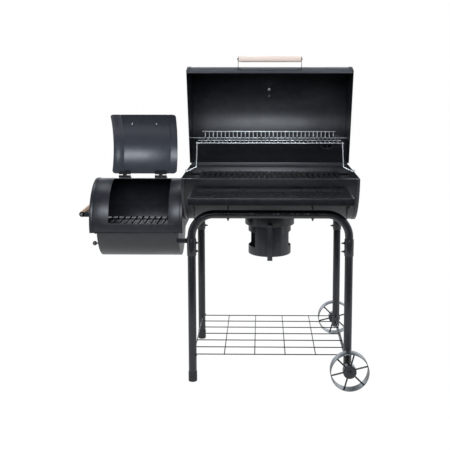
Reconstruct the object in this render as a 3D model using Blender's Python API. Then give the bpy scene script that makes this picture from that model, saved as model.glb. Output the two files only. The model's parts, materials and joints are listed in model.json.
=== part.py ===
"""Offset smoker: a barrel chamber with a hinged lid, a side firebox, an ash can and a wheeled tube frame.

Metres, +Z up, front towards -Y. Every piece is built with the lids closed, in a frame whose X and Y are
the middle of the chamber and whose Z is the floor. The pivots then turn the lids to where they rest, open.
"""

import math

import bmesh
import bpy
from mathutils import Matrix, Vector

for old in list(bpy.data.objects):
    bpy.data.objects.remove(old, do_unlink=True)

SHEET = 0.0015  # steel sheet
GAP = 0.0004  # between neighbouring pieces
CURVE_STEPS = 26  # flats on a half barrel

CHAMBER_LENGTH = 0.700
CHAMBER_RADIUS = 0.216
CHAMBER_AXIS_Z = 0.826
RIM_Z = 0.808
LID_LENGTH = CHAMBER_LENGTH + 0.006
LID_SEAM = 0.002  # between the rims of chamber and lid
LID_OPENING = math.radians(72)
KNUCKLE_RADIUS = 0.004
PIN_RADIUS = 0.002
HINGE_OFFSET = 0.0005  # from the sheet to the knuckle
LID_HINGE_X = 0.220
LEAF_WIDTH = 0.050
LEAF_HEIGHT = 0.024

LID_GRIP_LENGTH = 0.265
LID_GRIP_RADIUS = 0.0125
LID_GRIP_STANDOFF = 0.040
LID_GRIP_ANGLE = math.radians(3.2)  # above the front horizontal
THERMOMETER_ANGLE = math.radians(104)  # from the rear horizontal
THERMOMETER_RADIUS = 0.030
STEM_LENGTH = 0.060

CHIMNEY_X = 0.263
CHIMNEY_ANGLE = math.radians(35)
CHIMNEY_RADIUS = 0.0375
CHIMNEY_TOP_Z = 1.130
CHIMNEY_BEND = 0.060
GRILLE_RADIUS = 0.042
GRILLE_SLOTS = 8

RACK_REAR_OPEN = (0.2855, 0.920)  # rear rod in the lid's ends, with the lid open
RACK_DEPTH = 0.229
RACK_HALF = CHAMBER_LENGTH / 2 - 0.038
RACK_ROD = 0.002
RACK_PITCH = 0.018
RACK_BARS = 33
FENCE_HEIGHT = 0.029
RACK_LEG_X = CHAMBER_LENGTH / 2 - 0.044

GRATE_TOP_Z = 0.780
GRATE_THICKNESS = 0.007
GRATE_HALF_X = 0.300
GRATE_HALF_Y = 0.200
GRATE_PITCH = 0.0234
GRATE_BAR = 0.015
CHARCOAL_Z = 0.680
CHARCOAL_HALF_Y = 0.148
CHARCOAL_HALF_X = 0.322
CHARCOAL_PITCH = 0.053
CHARCOAL_BARS = 13
GRATE_TIE_Y = 0.100  # of the two cross bars under the charcoal and firebox grates
GRATE_WIRE = 0.004  # half the width of their bars

FIREBOX_LENGTH = 0.374
FIREBOX_RADIUS = 0.165
FIREBOX_AXIS_Z = 0.614
FIREBOX_PARTING_Z = 0.581
FIREBOX_PAN_LENGTH = 0.330
FIREBOX_PAN_RADIUS = 0.158
FIREBOX_PAN_RIGHT = CHAMBER_LENGTH / 2 + 0.017
FIREBOX_GRATE_LEFT = CHAMBER_LENGTH / 2 + 0.336
FIREBOX_GRATE_PITCH = 0.0265
FIREBOX_GRATE_BARS = 12
FIREBOX_GRATE_HALF_Y = 0.1565
SMOKE_WAY_HALF_Y = 0.075  # opening between chamber and firebox
SMOKE_WAY_LOW_Z = 0.672
SMOKE_WAY_HIGH_Z = 0.744
DOOR_LEFT = CHAMBER_LENGTH / 2 + 0.297
DOOR_RIGHT = CHAMBER_LENGTH / 2 + 0.057
DOOR_SILL_Z = 0.618
FIRE_LID_LEFT = CHAMBER_LENGTH / 2 + 0.310
FIRE_LID_RIGHT = CHAMBER_LENGTH / 2 + 0.039
FIRE_LID_LOWEST = math.radians(-8)
FIRE_LID_HIGHEST = math.radians(88)
FIRE_LID_OPENING = math.radians(136)
FIRE_HINGE_X = (-CHAMBER_LENGTH / 2 - 0.256, -CHAMBER_LENGTH / 2 - 0.1055)
FIRE_GRIP_RADIUS = 0.011
FIRE_GRIP_HALF = 0.0505
FIRE_GRIP_X = -CHAMBER_LENGTH / 2 - 0.1735
FIRE_GRIP_ANGLE = math.radians(11)
FIRE_GRIP_STANDOFF = 0.038
VENT_RADIUS = 0.042
VENT_Z = 0.520
VENT_HOLE = 0.009
VENT_RING = 0.024
KNOB_RADIUS = 0.009
KNOB_DROP = 0.020
KNOB_REACH = 0.041
SIDE_GRIP_RADIUS = 0.0115
SIDE_GRIP_HALF = 0.090
SIDE_GRIP_REACH = 0.0445
SIDE_GRIP_Z = 0.6415

TUBE_RADIUS = 0.016
TUBE_WALL = 0.0015
TUBE_Y = 0.244
TUBE_Z = 0.674
LEG_X = 0.3065
TUBE_BEND = 0.090
SEAM_Z = 0.537
SLEEVE_HEIGHT = 0.066
SLEEVE_WALL = 0.002
FOOT_HEIGHT = 0.040
FOOT_WALL = 0.0025
CRADLE_X = 0.164
CRADLE_TOP_Z = 0.736
STRUT_LOW_Z = 0.558
STRUT_HIGH_Z = 0.5775
STRUT_NEAR_Y = -0.140

WHEEL_RADIUS = 0.075
WHEEL_WIDTH = 0.043
WHEEL_Y = TUBE_Y + 0.080
BAND = 0.002
HUB_RADIUS = 0.026
HUB_WIDTH = 0.034
SPOKES = 6
SPOKE_RADIUS = 0.003
AXLE_RADIUS = 0.005
BORE = 0.0004  # running clearance on the axle

SHELF_Z = 0.108
SHELF_WIRE = 0.004
SHELF_ROWS = [(TUBE_Y - SHELF_WIRE) * row / 3 for row in range(-3, 4)]
SHELF_COLUMNS = [(LEG_X - 0.0045) * column / 5 for column in range(-5, 6, 2)]

TRAY_HALF_X = 0.302
TRAY_FRONT = -0.444
TRAY_REAR = -0.2185
TRAY_TOP_Z = 0.770
TRAY_HEIGHT = 0.026
TRAY_BORDER = 0.020
TRAY_RECESS = 0.007
TRAY_ARM_X = 0.295

COLLAR_RADIUS = 0.103
COLLAR_BOTTOM_Z = 0.589
CAN_RADIUS = 0.089
CAN_BOTTOM_Z = 0.464
CAN_TOP_Z = 0.600
CAN_LIP = 0.005
CAN_WINDOW_LOW_Z = 0.490
CAN_WINDOW_HIGH_Z = 0.564
ASH_HOLE = 0.080
CAN_GRIP_HALF = 0.0105
CAN_GRIP_Y = 0.115


def collection(name):
    made = bpy.data.collections.new(name)
    bpy.context.scene.collection.children.link(made)
    return made


smoker = collection("offset_smoker")
helpers = collection("cutters_and_unions")


def finish(name, colour, roughness, metallic):
    made = bpy.data.materials.new(name)
    made.use_nodes = True
    shader = made.node_tree.nodes["Principled BSDF"]
    shader.inputs["Base Color"].default_value = (*colour, 1)
    shader.inputs["Roughness"].default_value = roughness
    shader.inputs["Metallic"].default_value = metallic
    return made


BLACK = (0.018, 0.020, 0.022)
CHROME = (0.72, 0.73, 0.74)
PALE_WOOD = (0.78, 0.62, 0.50)
WARM_WOOD = (0.62, 0.38, 0.22)


def painted(name):
    return finish(name + "_paint", BLACK, 0.38, 0.3)


def pivot(name, y, z, x=0.0, holder=None):
    """An empty on a joint axis, in the closed pose."""
    made = bpy.data.objects.new(name, None)
    made.empty_display_size = 0.03
    smoker.objects.link(made)
    made.location = (x, y, z)
    if holder:
        made.parent = holder
        made.matrix_parent_inverse = Matrix.Translation(-holder.location)
    return made


root = pivot("smoker_root", 0.0, 0.0)


def placed(name, mesh, look, holder):
    """A piece of the smoker or, with no look, a hidden helper of a Boolean."""
    made = bpy.data.objects.new(name, mesh)
    holder = holder or root
    made.parent = holder
    made.matrix_parent_inverse = Matrix.Translation(-holder.location)
    if look is None:
        helpers.objects.link(made)
        made.hide_render = True
        made.display_type = "WIRE"
    else:
        smoker.objects.link(made)
        mesh.materials.append(look)
    return made


def mesh_of(name, shape):
    bmesh.ops.recalc_face_normals(shape, faces=shape.faces)
    mesh = bpy.data.meshes.new(name)
    shape.to_mesh(mesh)
    shape.free()
    return mesh


AXES = {
    "X": lambda a, b, along: (along, a, b),
    "Y": lambda a, b, along: (a, along, b),
    "Z": lambda a, b, along: (a, b, along),
}


def prism(name, outline, spans, axis, look=None, holder=None):
    """An outline across an axis, extruded over each (low, high) span of that axis."""
    shape = bmesh.new()
    for low, high in spans:
        corners = [shape.verts.new(AXES[axis](a, b, low)) for a, b in outline]
        face = shape.faces.new(corners)
        grown = bmesh.ops.extrude_face_region(shape, geom=[face])["geom"]
        moved = [part for part in grown if isinstance(part, bmesh.types.BMVert)]
        bmesh.ops.translate(shape, verts=moved, vec=AXES[axis](0, 0, high - low))
    return placed(name, mesh_of(name, shape), look, holder)


def block(name, low, high, look=None, holder=None):
    outline = [(low[1], low[2]), (high[1], low[2]), (high[1], high[2]), (low[1], high[2])]
    return prism(name, outline, [(low[0], high[0])], "X", look, holder)


def bars(name, axis, places, half, across, z_low, z_high, look=None, holder=None):
    """Parallel bars along an axis, one at each place, over the span `across`."""
    outline = [(across[0], z_low), (across[1], z_low), (across[1], z_high), (across[0], z_high)]
    spans = [(place - half, place + half) for place in places]
    return prism(name, outline, spans, "Y" if axis == "X" else "X", look, holder)


def rods(name, ends, radius, sides=16, look=None, holder=None):
    """Round bars, one for each (start, end) pair."""
    shape = bmesh.new()
    for start, end in ends:
        start, end = Vector(start), Vector(end)
        along = end - start
        turn = along.to_track_quat("Z", "Y").to_matrix().to_4x4()
        bmesh.ops.create_cone(
            shape, cap_ends=True, segments=sides, radius1=radius, radius2=radius,
            depth=along.length, matrix=Matrix.Translation((start + end) / 2) @ turn,
        )
    made = placed(name, mesh_of(name, shape), look, holder)
    made.data.shade_smooth()
    made.data.set_sharp_from_angle(angle=math.radians(35))
    return made


def rod(name, start, end, radius, sides=16, look=None, holder=None):
    return rods(name, [(start, end)], radius, sides, look, holder)


def wire(name, points, radius, look=None, holder=None, resolution=2):
    """A round bar swept along a line of points."""
    curve = bpy.data.curves.new(name, "CURVE")
    curve.dimensions = "3D"
    curve.bevel_depth = radius
    curve.bevel_resolution = resolution
    curve.use_fill_caps = True
    line = curve.splines.new("POLY")
    line.points.add(len(points) - 1)
    for point, place in zip(line.points, points):
        point.co = (*place, 1)
    drawn = bpy.data.objects.new(name + "_line", curve)
    helpers.objects.link(drawn)
    graph = bpy.context.evaluated_depsgraph_get()
    mesh = bpy.data.meshes.new_from_object(drawn.evaluated_get(graph))
    bpy.data.objects.remove(drawn)
    shape = bmesh.new()
    shape.from_mesh(mesh)
    bpy.data.meshes.remove(mesh)
    bmesh.ops.remove_doubles(shape, verts=shape.verts, dist=0.00001)
    made = placed(name, mesh_of(name, shape), look, holder)
    made.data.shade_smooth()
    made.data.set_sharp_from_angle(angle=math.radians(50))
    return made


def combine(target, operation, others):
    for other in others:
        step = target.modifiers.new(other.name, "BOOLEAN")
        step.operation = operation
        step.solver = "EXACT"
        step.object = other
    return target


def cut(target, *others):
    return combine(target, "DIFFERENCE", others)


def join(target, *others):
    return combine(target, "UNION", others)


def arc(y, z, radius, start, end, steps=CURVE_STEPS):
    """Points of an arc in the YZ plane, angles from +Y towards +Z."""
    turns = [start + (end - start) * step / steps for step in range(steps + 1)]
    return [(y + radius * math.cos(turn), z + radius * math.sin(turn)) for turn in turns]


def arc_sheet(z, radius, start, end, steps=CURVE_STEPS):
    """Outline of a bent sheet whose outside has this radius."""
    outer = arc(0, z, radius, start, end, steps)
    inner = arc(0, z, radius - SHEET, start, end, steps)
    return outer + inner[::-1]


def on_arc(radius, angle, z=CHAMBER_AXIS_Z, x=0.0):
    return Vector((x, radius * math.cos(angle), z + radius * math.sin(angle)))


def both(value):
    return (("left", -value), ("right", value))


# ---------------------------------------------------------------- frame
tube_look = painted("frame")
straight = LEG_X - TUBE_BEND
corner = [
    (math.sin(turn) * TUBE_BEND, math.cos(turn) * TUBE_BEND)
    for turn in [math.radians(15 * step) for step in range(7)]
]
for side, y in (("front", -TUBE_Y), ("rear", TUBE_Y)):
    right = [(straight + a, y, TUBE_Z - TUBE_BEND + b) for a, b in corner]
    right.append((LEG_X, y, SEAM_Z))
    left = [(-x, y, z) for x, y, z in right[::-1]]
    tube = wire(side + "_top_tube", left + right, TUBE_RADIUS, tube_look, resolution=3)
    below = Vector((0, 0, -TUBE_RADIUS))
    route = [Vector(left[0]) + below] + left + right + [Vector(right[-1]) + below]
    cut(tube, wire("tube_bore", route, TUBE_RADIUS - TUBE_WALL, resolution=3))

sleeve_look = painted("sleeve")
foot_look = finish("foot_plastic", (0.02, 0.02, 0.02), 0.6, 0.0)
axle_z = WHEEL_RADIUS
axle_bore = AXLE_RADIUS + BORE
for end, y in (("front", -TUBE_Y), ("rear", TUBE_Y)):
    for side, x in both(LEG_X):
        bottom = FOOT_WALL + GAP if side == "left" else axle_z - TUBE_RADIUS
        leg = rod(
            "leg_" + end + "_" + side, (x, y, bottom), (x, y, SEAM_Z - GAP), TUBE_RADIUS, 16, tube_look
        )
        leg_bore = rod(
            "leg_bore", (x, y, bottom - SHEET), (x, y, SEAM_Z + SHEET), TUBE_RADIUS - TUBE_WALL, 16
        )
        cut(leg, leg_bore)
        if side == "right":
            reach = 2 * TUBE_RADIUS
            cut(leg, rod("axle_hole_" + end, (x, y - reach, axle_z), (x, y + reach, axle_z), axle_bore))
        else:
            inner = TUBE_RADIUS + GAP
            foot = rod(
                "foot_" + end, (x, y, 0), (x, y, FOOT_HEIGHT), inner + FOOT_WALL, 20, foot_look
            )
            cut(foot, rod("foot_bore_" + end, (x, y, FOOT_WALL), (x, y, 2 * FOOT_HEIGHT), inner, 20))
        low, high = SEAM_Z - SLEEVE_HEIGHT / 2 + 0.006, SEAM_Z + SLEEVE_HEIGHT / 2 + 0.006
        inner = TUBE_RADIUS + GAP
        sleeve = rod(
            "sleeve_" + end + "_" + side, (x, y, low), (x, y, high), inner + SLEEVE_WALL, 16, sleeve_look
        )
        cut(sleeve, rod("sleeve_bore", (x, y, low - SHEET), (x, y, high + SHEET), inner))

cradle_look = painted("cradle")
for side, x in both(CRADLE_X):
    seat_z = TUBE_Z + TUBE_RADIUS + GAP
    reach = TUBE_Y + TUBE_RADIUS
    saddle = CHAMBER_RADIUS + GAP
    rise = math.asin((CRADLE_TOP_Z - CHAMBER_AXIS_Z) / saddle)
    fall = math.asin((seat_z + 0.004 - CHAMBER_AXIS_Z) / saddle)
    for end, turn in (("front", -1), ("rear", 1)):
        top = arc(0, CHAMBER_AXIS_Z, saddle, fall, rise, 6)
        outline = [(reach, seat_z), (reach, seat_z + 0.010)] + top[::-1] + [(top[0][0], seat_z)]
        outline = [(turn * y, z) for y, z in outline]
        prism("cradle_" + end + "_" + side, outline, [(x - SHEET, x + SHEET)], "X", cradle_look)

wheel_look = finish("wheel_steel", (0.33, 0.34, 0.35), 0.32, 0.9)
axle = rod(
    "axle", (LEG_X, -WHEEL_Y - HUB_WIDTH / 2 - 0.010, axle_z),
    (LEG_X, WHEEL_Y + HUB_WIDTH / 2 + 0.010, axle_z), AXLE_RADIUS, 16,
    finish("axle_steel", (0.5, 0.5, 0.52), 0.35, 1.0),
)
axle_ends = []
for turn in (-1, 1):
    inside = turn * (WHEEL_Y + HUB_WIDTH / 2 + GAP)
    outside = inside + turn * 0.0085
    axle_ends.append(((LEG_X, inside, axle_z), (LEG_X, outside, axle_z)))
join(axle, rods("axle_ends", axle_ends, 0.009, 12))
for end, y in (("front", -WHEEL_Y), ("rear", WHEEL_Y)):
    spin = pivot("wheel_" + end + "_pivot", y, axle_z, LEG_X)
    half = WHEEL_WIDTH / 2
    wheel = rod(
        "wheel_" + end, (LEG_X, y - half, axle_z), (LEG_X, y + half, axle_z), WHEEL_RADIUS, 32,
        wheel_look, spin,
    )
    hollow = rod(
        "wheel_hollow_" + end, (LEG_X, y - WHEEL_WIDTH, axle_z), (LEG_X, y + WHEEL_WIDTH, axle_z),
        WHEEL_RADIUS - BAND, 32, holder=spin,
    )
    hub = rod(
        "wheel_hub_" + end, (LEG_X, y - HUB_WIDTH / 2, axle_z), (LEG_X, y + HUB_WIDTH / 2, axle_z),
        HUB_RADIUS, 16, holder=spin,
    )
    spokes = []
    for spoke in range(SPOKES):
        turn = 2 * math.pi * (spoke + 0.25) / SPOKES
        out = Vector((math.cos(turn), 0, math.sin(turn)))
        middle = Vector((LEG_X, y, axle_z))
        start = middle + out * (HUB_RADIUS - 0.004)
        spokes.append((start, middle + out * (WHEEL_RADIUS - BAND / 2)))
    spoke_bars = rods("wheel_spokes_" + end, spokes, SPOKE_RADIUS, 6, holder=spin)
    bore = rod(
        "wheel_bore_" + end, (LEG_X, y - HUB_WIDTH, axle_z), (LEG_X, y + HUB_WIDTH, axle_z),
        axle_bore, holder=spin,
    )
    cut(join(cut(wheel, hollow), spoke_bars, hub), bore)

leg_inside_x = LEG_X - TUBE_RADIUS - GAP
leg_inside_y = TUBE_Y - TUBE_RADIUS - GAP
half_wire = SHELF_WIRE / 2
row_end = SHELF_COLUMNS[-1] + half_wire
column_end = SHELF_ROWS[-1] + half_wire
row_heights = (SHELF_Z - half_wire, SHELF_Z + half_wire)
column_heights = (SHELF_Z - half_wire - 0.0005, SHELF_Z + half_wire - 0.0005)
wire_shelf = bars(
    "wire_shelf", "X", SHELF_ROWS[1:-1], half_wire, (-row_end, row_end), *row_heights,
    painted("wire_shelf"),
)
outer_rows = bars(
    "outer_rows", "X", (SHELF_ROWS[0], SHELF_ROWS[-1]), half_wire, (-leg_inside_x, leg_inside_x),
    *row_heights,
)
columns = bars(
    "columns", "Y", SHELF_COLUMNS[1:-1], half_wire, (-column_end, column_end), *column_heights
)
outer_columns = bars(
    "outer_columns", "Y", (SHELF_COLUMNS[0], SHELF_COLUMNS[-1]), half_wire,
    (-leg_inside_y, leg_inside_y), *column_heights,
)
join(wire_shelf, columns, outer_columns, outer_rows)


# ---------------------------------------------------------------- chamber
rim_angle = math.asin((RIM_Z - CHAMBER_AXIS_Z) / CHAMBER_RADIUS)
half_x = CHAMBER_LENGTH / 2
shell_x = half_x - SHEET - GAP
chamber_look = painted("chamber")
chamber_shell = prism(
    "chamber_shell", arc_sheet(CHAMBER_AXIS_Z, CHAMBER_RADIUS, math.pi - rim_angle, 2 * math.pi + rim_angle),
    [(-shell_x, shell_x)], "X", chamber_look,
)
cut(chamber_shell, rod("ash_hole", (0, 0, 0.55), (0, 0, 0.66), ASH_HOLE, 24))

hinge_y = CHAMBER_RADIUS + HINGE_OFFSET + KNUCKLE_RADIUS
hinge_z = RIM_Z + LID_SEAM / 2
lid_pivot = pivot("lid_pivot", hinge_y, hinge_z)

arm_y, arm_z = RACK_REAR_OPEN[0] - hinge_y, RACK_REAR_OPEN[1] - hinge_z
shut = math.atan2(arm_z, arm_y) + LID_OPENING
arm = math.hypot(arm_y, arm_z)
rack_y = hinge_y + arm * math.cos(shut)
rack_z = hinge_z + arm * math.sin(shut)
rack_leg_y = hinge_y - RACK_DEPTH
rack_leg_z = hinge_z

EAR_RADIUS = 0.009
end_outline = arc(0, CHAMBER_AXIS_Z, CHAMBER_RADIUS, math.pi - rim_angle, 2 * math.pi + rim_angle)
ear = arc(rack_leg_y, rack_leg_z, EAR_RADIUS, 0, math.pi, 8)
ear = [(ear[0][0], RIM_Z)] + ear + [(ear[-1][0], RIM_Z)]
chamber_end_look = painted("chamber_end")
smoke_low = (-SMOKE_WAY_HALF_Y, SMOKE_WAY_LOW_Z)
smoke_high = (SMOKE_WAY_HALF_Y, SMOKE_WAY_HIGH_Z)
for side, x in both(half_x):
    span = (x, x + SHEET) if side == "left" else (x - SHEET, x)
    plate = prism("chamber_end_" + side, end_outline + ear, [span], "X", chamber_end_look)
    hole_x = (span[0] - SHEET, rack_leg_y, rack_leg_z), (span[1] + SHEET, rack_leg_y, rack_leg_z)
    cut(plate, rod("rack_foot_hole_" + side, *hole_x, RACK_ROD + 0.0006, 10))
    if side == "left":
        cut(plate, block("smoke_way", (x - 0.02, *smoke_low), (x + 0.02, *smoke_high)))

rail_look = painted("grate_rail")
rail_z = GRATE_TOP_Z - GRATE_THICKNESS - GAP
for end, turn in (("front", -1), ("rear", 1)):
    near, far = sorted((turn * (GRATE_HALF_Y - 0.014), turn * (GRATE_HALF_Y + 0.003)))
    block("grate_rail_" + end, (-shell_x, near, rail_z - 0.003), (shell_x, far, rail_z), rail_look)

grate_look = finish("grate_iron", (0.03, 0.03, 0.032), 0.5, 0.4)
for side, turn in (("left", -1), ("right", 1)):
    middle = turn * (GRATE_HALF_X / 2 + GAP)
    count = int((GRATE_HALF_X - GRATE_BAR) / GRATE_PITCH)
    places = [middle + (step - count / 2) * GRATE_PITCH for step in range(count + 1)]
    half = GRATE_BAR / 2
    lift = pivot("grate_" + side + "_lift", 0, GRATE_TOP_Z, middle)
    grate = bars(
        "grate_" + side, "Y", places, half, (-GRATE_HALF_Y, GRATE_HALF_Y),
        GRATE_TOP_Z - GRATE_THICKNESS, GRATE_TOP_Z, grate_look, lift,
    )
    edge = GRATE_HALF_Y - GRATE_BAR / 2 - 0.001
    ties = bars(
        "grate_ties_" + side, "X", (-edge, 0, edge), half, (places[0] - half + 0.001, places[-1] + half - 0.001),
        GRATE_TOP_Z - GRATE_THICKNESS + 0.001, GRATE_TOP_Z - 0.001, holder=lift,
    )
    join(grate, ties)

charcoal_grate = bars(
    "charcoal_grate", "Y",
    [CHARCOAL_PITCH * (step - CHARCOAL_BARS // 2) for step in range(CHARCOAL_BARS)], GRATE_WIRE,
    (-CHARCOAL_HALF_Y, CHARCOAL_HALF_Y), CHARCOAL_Z - 0.005, CHARCOAL_Z,
    finish("charcoal_grate_iron", (0.03, 0.03, 0.03), 0.6, 0.5),
)
charcoal_ties = bars(
    "charcoal_ties", "X", (-GRATE_TIE_Y, GRATE_TIE_Y), GRATE_WIRE, (-CHARCOAL_HALF_X, CHARCOAL_HALF_X),
    CHARCOAL_Z - 0.0045, CHARCOAL_Z - 0.001,
)
join(charcoal_grate, charcoal_ties)

# ---------------------------------------------------------------- lid
lid_half = LID_LENGTH / 2
lid_inside = lid_half - SHEET - GAP
lid_seam_z = RIM_Z + LID_SEAM
lid_start = math.asin((lid_seam_z - CHAMBER_AXIS_Z) / CHAMBER_RADIUS)
lid_look = painted("lid")


def knuckles(name, xs, width, y, z, radius, holder=None):
    ends = [((x - width / 2, y, z), (x + width / 2, y, z)) for x in xs]
    return rods(name, ends, radius, 12, holder=holder)


lid_shell = prism(
    "lid_shell", arc_sheet(CHAMBER_AXIS_Z, CHAMBER_RADIUS, lid_start, math.pi - lid_start),
    [(-lid_inside, lid_inside)], "X", lid_look, lid_pivot,
)
leaf_z = hinge_z + LEAF_HEIGHT
hinge_xs = (-LID_HINGE_X, LID_HINGE_X)
third = LEAF_WIDTH / 3
lid_leaves = prism(
    "lid_leaves",
    [(CHAMBER_RADIUS - 0.0008, hinge_z + 0.006), (hinge_y - 0.002, hinge_z + 0.003),
     (hinge_y, hinge_z + 0.003), (CHAMBER_RADIUS + 0.0014, leaf_z), (CHAMBER_RADIUS - 0.0008, leaf_z)],
    [(x - third / 2 + GAP, x + third / 2 - GAP) for x in hinge_xs], "X", holder=lid_pivot,
)
lid_knuckles = knuckles(
    "lid_knuckles", hinge_xs, third - 2 * GAP, hinge_y, hinge_z, KNUCKLE_RADIUS, lid_pivot
)
lid_bore = knuckles(
    "lid_bore", hinge_xs, 2 * third, hinge_y, hinge_z, PIN_RADIUS + GAP, lid_pivot
)
chimney_out = Vector((0, math.cos(CHIMNEY_ANGLE), math.sin(CHIMNEY_ANGLE)))
lid_axis = Vector((CHIMNEY_X, 0, CHAMBER_AXIS_Z))
chimney_hole = rod(
    "chimney_hole", lid_axis + chimney_out * 0.18, lid_axis + chimney_out * 0.25,
    CHIMNEY_RADIUS - 0.002, 24, holder=lid_pivot,
)
dial_out = Vector((0, math.cos(THERMOMETER_ANGLE), math.sin(THERMOMETER_ANGLE)))
dial_axis = Vector((0, 0, CHAMBER_AXIS_Z))
stem_hole = rod(
    "stem_hole", dial_axis + dial_out * 0.20, dial_axis + dial_out * 0.23, 0.0044, 12, holder=lid_pivot
)
join(lid_shell, lid_leaves, lid_knuckles)
cut(lid_shell, lid_bore, chimney_hole, stem_hole)

lid_end_look = painted("lid_end")
lid_outline = arc(0, CHAMBER_AXIS_Z, CHAMBER_RADIUS, lid_start, math.pi - lid_start)
for side, x in both(lid_half):
    span = (x, x + SHEET) if side == "left" else (x - SHEET, x)
    plate = prism("lid_end_" + side, lid_outline, [span], "X", lid_end_look, lid_pivot)
    hole = (span[0] - SHEET, rack_y, rack_z), (span[1] + SHEET, rack_y, rack_z)
    cut(plate, rod("rack_rod_hole_" + side, *hole, RACK_ROD + 0.0006, 10, holder=lid_pivot))

hinge_look = finish("hinge_steel", (0.10, 0.10, 0.11), 0.4, 0.8)
for side, x in both(LID_HINGE_X):
    fixed_xs = (x - third, x + third)
    low_z = hinge_z - LEAF_HEIGHT
    sheet_y = CHAMBER_RADIUS + GAP
    hinge = prism(
        "lid_hinge_" + side,
        [(sheet_y, low_z), (sheet_y + SHEET, low_z), (hinge_y, hinge_z - 0.003),
         (hinge_y - 0.002, hinge_z - 0.003), (sheet_y, hinge_z - 0.005)],
        [(x - LEAF_WIDTH / 2, x + LEAF_WIDTH / 2)], "X", hinge_look,
    )
    room = knuckles("hinge_room", (x,), third, hinge_y, hinge_z, KNUCKLE_RADIUS + GAP)
    fixed = knuckles("fixed_knuckles", fixed_xs, third, hinge_y, hinge_z, KNUCKLE_RADIUS)
    pin = knuckles("hinge_pin", (x,), LEAF_WIDTH - 0.002, hinge_y, hinge_z, PIN_RADIUS)
    join(cut(hinge, room), fixed, pin)

grip_angle = math.pi - LID_GRIP_ANGLE
grip = on_arc(CHAMBER_RADIUS + LID_GRIP_STANDOFF, grip_angle)
out = Vector((0, math.cos(grip_angle), math.sin(grip_angle)))
up = Vector((0, -out.z, out.y)) * -1
foot = on_arc(CHAMBER_RADIUS + 0.0012, grip_angle)
half_grip = LID_GRIP_LENGTH / 2
rod("lid_grip", grip - Vector((half_grip, 0, 0)), grip + Vector((half_grip, 0, 0)), LID_GRIP_RADIUS, 24,
    finish("lid_grip_wood", PALE_WOOD, 0.5, 0.0), lid_pivot)
bracket_look = painted("lid_bracket")


def strap(base, outward, sideways, reach, half_width):
    """Outline of a flat strap in the YZ plane from a base point to a rounded end."""
    tip = base + outward * reach
    rounded = [
        tip + sideways * half_width * math.cos(turn) + outward * half_width * math.sin(turn)
        for turn in [math.pi * step / 8 for step in range(9)]
    ]
    points = [base + sideways * half_width] + rounded + [base - sideways * half_width]
    return [(point.y, point.z) for point in points]


for side, x in both(half_grip + GAP):
    span = (x - SHEET, x) if side == "left" else (x, x + SHEET)
    outline = strap(foot, out, up, LID_GRIP_STANDOFF - 0.0012, 0.011)
    bracket = prism("lid_bracket_" + side, outline, [span], "X", bracket_look, lid_pivot)
    pad = [foot + up * 0.010, foot + up * 0.010 + out * SHEET, foot - up * 0.010 + out * SHEET,
           foot - up * 0.010]
    inward = (span[0], span[0] + 0.014) if side == "left" else (span[1] - 0.014, span[1])
    join(bracket, prism("bracket_pad", [(p.y, p.z) for p in pad], [inward], "X", holder=lid_pivot))

dial = on_arc(CHAMBER_RADIUS + 0.0012, THERMOMETER_ANGLE)
thermometer = rod(
    "thermometer", dial, dial + dial_out * 0.012, THERMOMETER_RADIUS, 28,
    finish("thermometer_steel", (0.6, 0.6, 0.61), 0.3, 1.0), lid_pivot,
)
stem = rod("stem", dial + dial_out * 0.004, dial - dial_out * STEM_LENGTH, 0.004, 12, holder=lid_pivot)
nut_top = CHAMBER_RADIUS - SHEET - 0.0009
nut = rod(
    "stem_nut", dial_axis + dial_out * nut_top, dial_axis + dial_out * (nut_top - 0.007), 0.0085, 6,
    holder=lid_pivot,
)
join(thermometer, stem, nut)

grille_depth = math.sqrt((CHAMBER_RADIUS - SHEET) ** 2 - GRILLE_RADIUS ** 2) - GAP
grille_top = lid_axis + chimney_out * grille_depth
chimney_grille = rod(
    "chimney_grille", grille_top - chimney_out * 0.001, grille_top, GRILLE_RADIUS, 24,
    painted("chimney_grille"), lid_pivot,
)
across = Vector((1, 0, 0))
along = chimney_out.cross(across)
slots = []
for slot in range(GRILLE_SLOTS):
    turn = 2 * math.pi * (slot + 0.5) / GRILLE_SLOTS
    ray = across * math.cos(turn) + along * math.sin(turn)
    middle = grille_top + ray * 0.027
    slots.append((middle - chimney_out * 0.005, middle + chimney_out * 0.004))
cut(chimney_grille, rods("grille_holes", slots, 0.0075, 8, holder=lid_pivot))

start = lid_axis + chimney_out * (CHAMBER_RADIUS - 0.012)
turn_in = lid_axis + chimney_out * (CHAMBER_RADIUS + 0.020)
normal = Vector((0, -chimney_out.z, chimney_out.y))
bend_middle = turn_in + normal * CHIMNEY_BEND
bend = []
for step in range(6):
    turn = CHIMNEY_ANGLE - math.pi / 2 + (math.pi / 2 - CHIMNEY_ANGLE) * step / 5
    bend.append(bend_middle + Vector((0, math.cos(turn), math.sin(turn))) * CHIMNEY_BEND)
pipe_top = Vector((CHIMNEY_X, bend[-1].y, CHIMNEY_TOP_Z))
chimney_pipe = wire(
    "chimney_pipe", [start] + bend + [pipe_top], CHIMNEY_RADIUS, painted("chimney"), lid_pivot, 4
)
inner_start = start - chimney_out * 0.02
inner_top = pipe_top + Vector((0, 0, 0.02))
chimney_core = wire(
    "chimney_core", [inner_start] + bend + [inner_top], CHIMNEY_RADIUS - SHEET, holder=lid_pivot, resolution=4
)
lid_volume = rod(
    "lid_volume", (-lid_half, 0, CHAMBER_AXIS_Z), (lid_half, 0, CHAMBER_AXIS_Z),
    CHAMBER_RADIUS + 3 * GAP, 2 * CURVE_STEPS, holder=lid_pivot,
)
CAP_PIN_Y = 0.046
cap_y, cap_z = pipe_top.y + CAP_PIN_Y, CHIMNEY_TOP_Z
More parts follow.
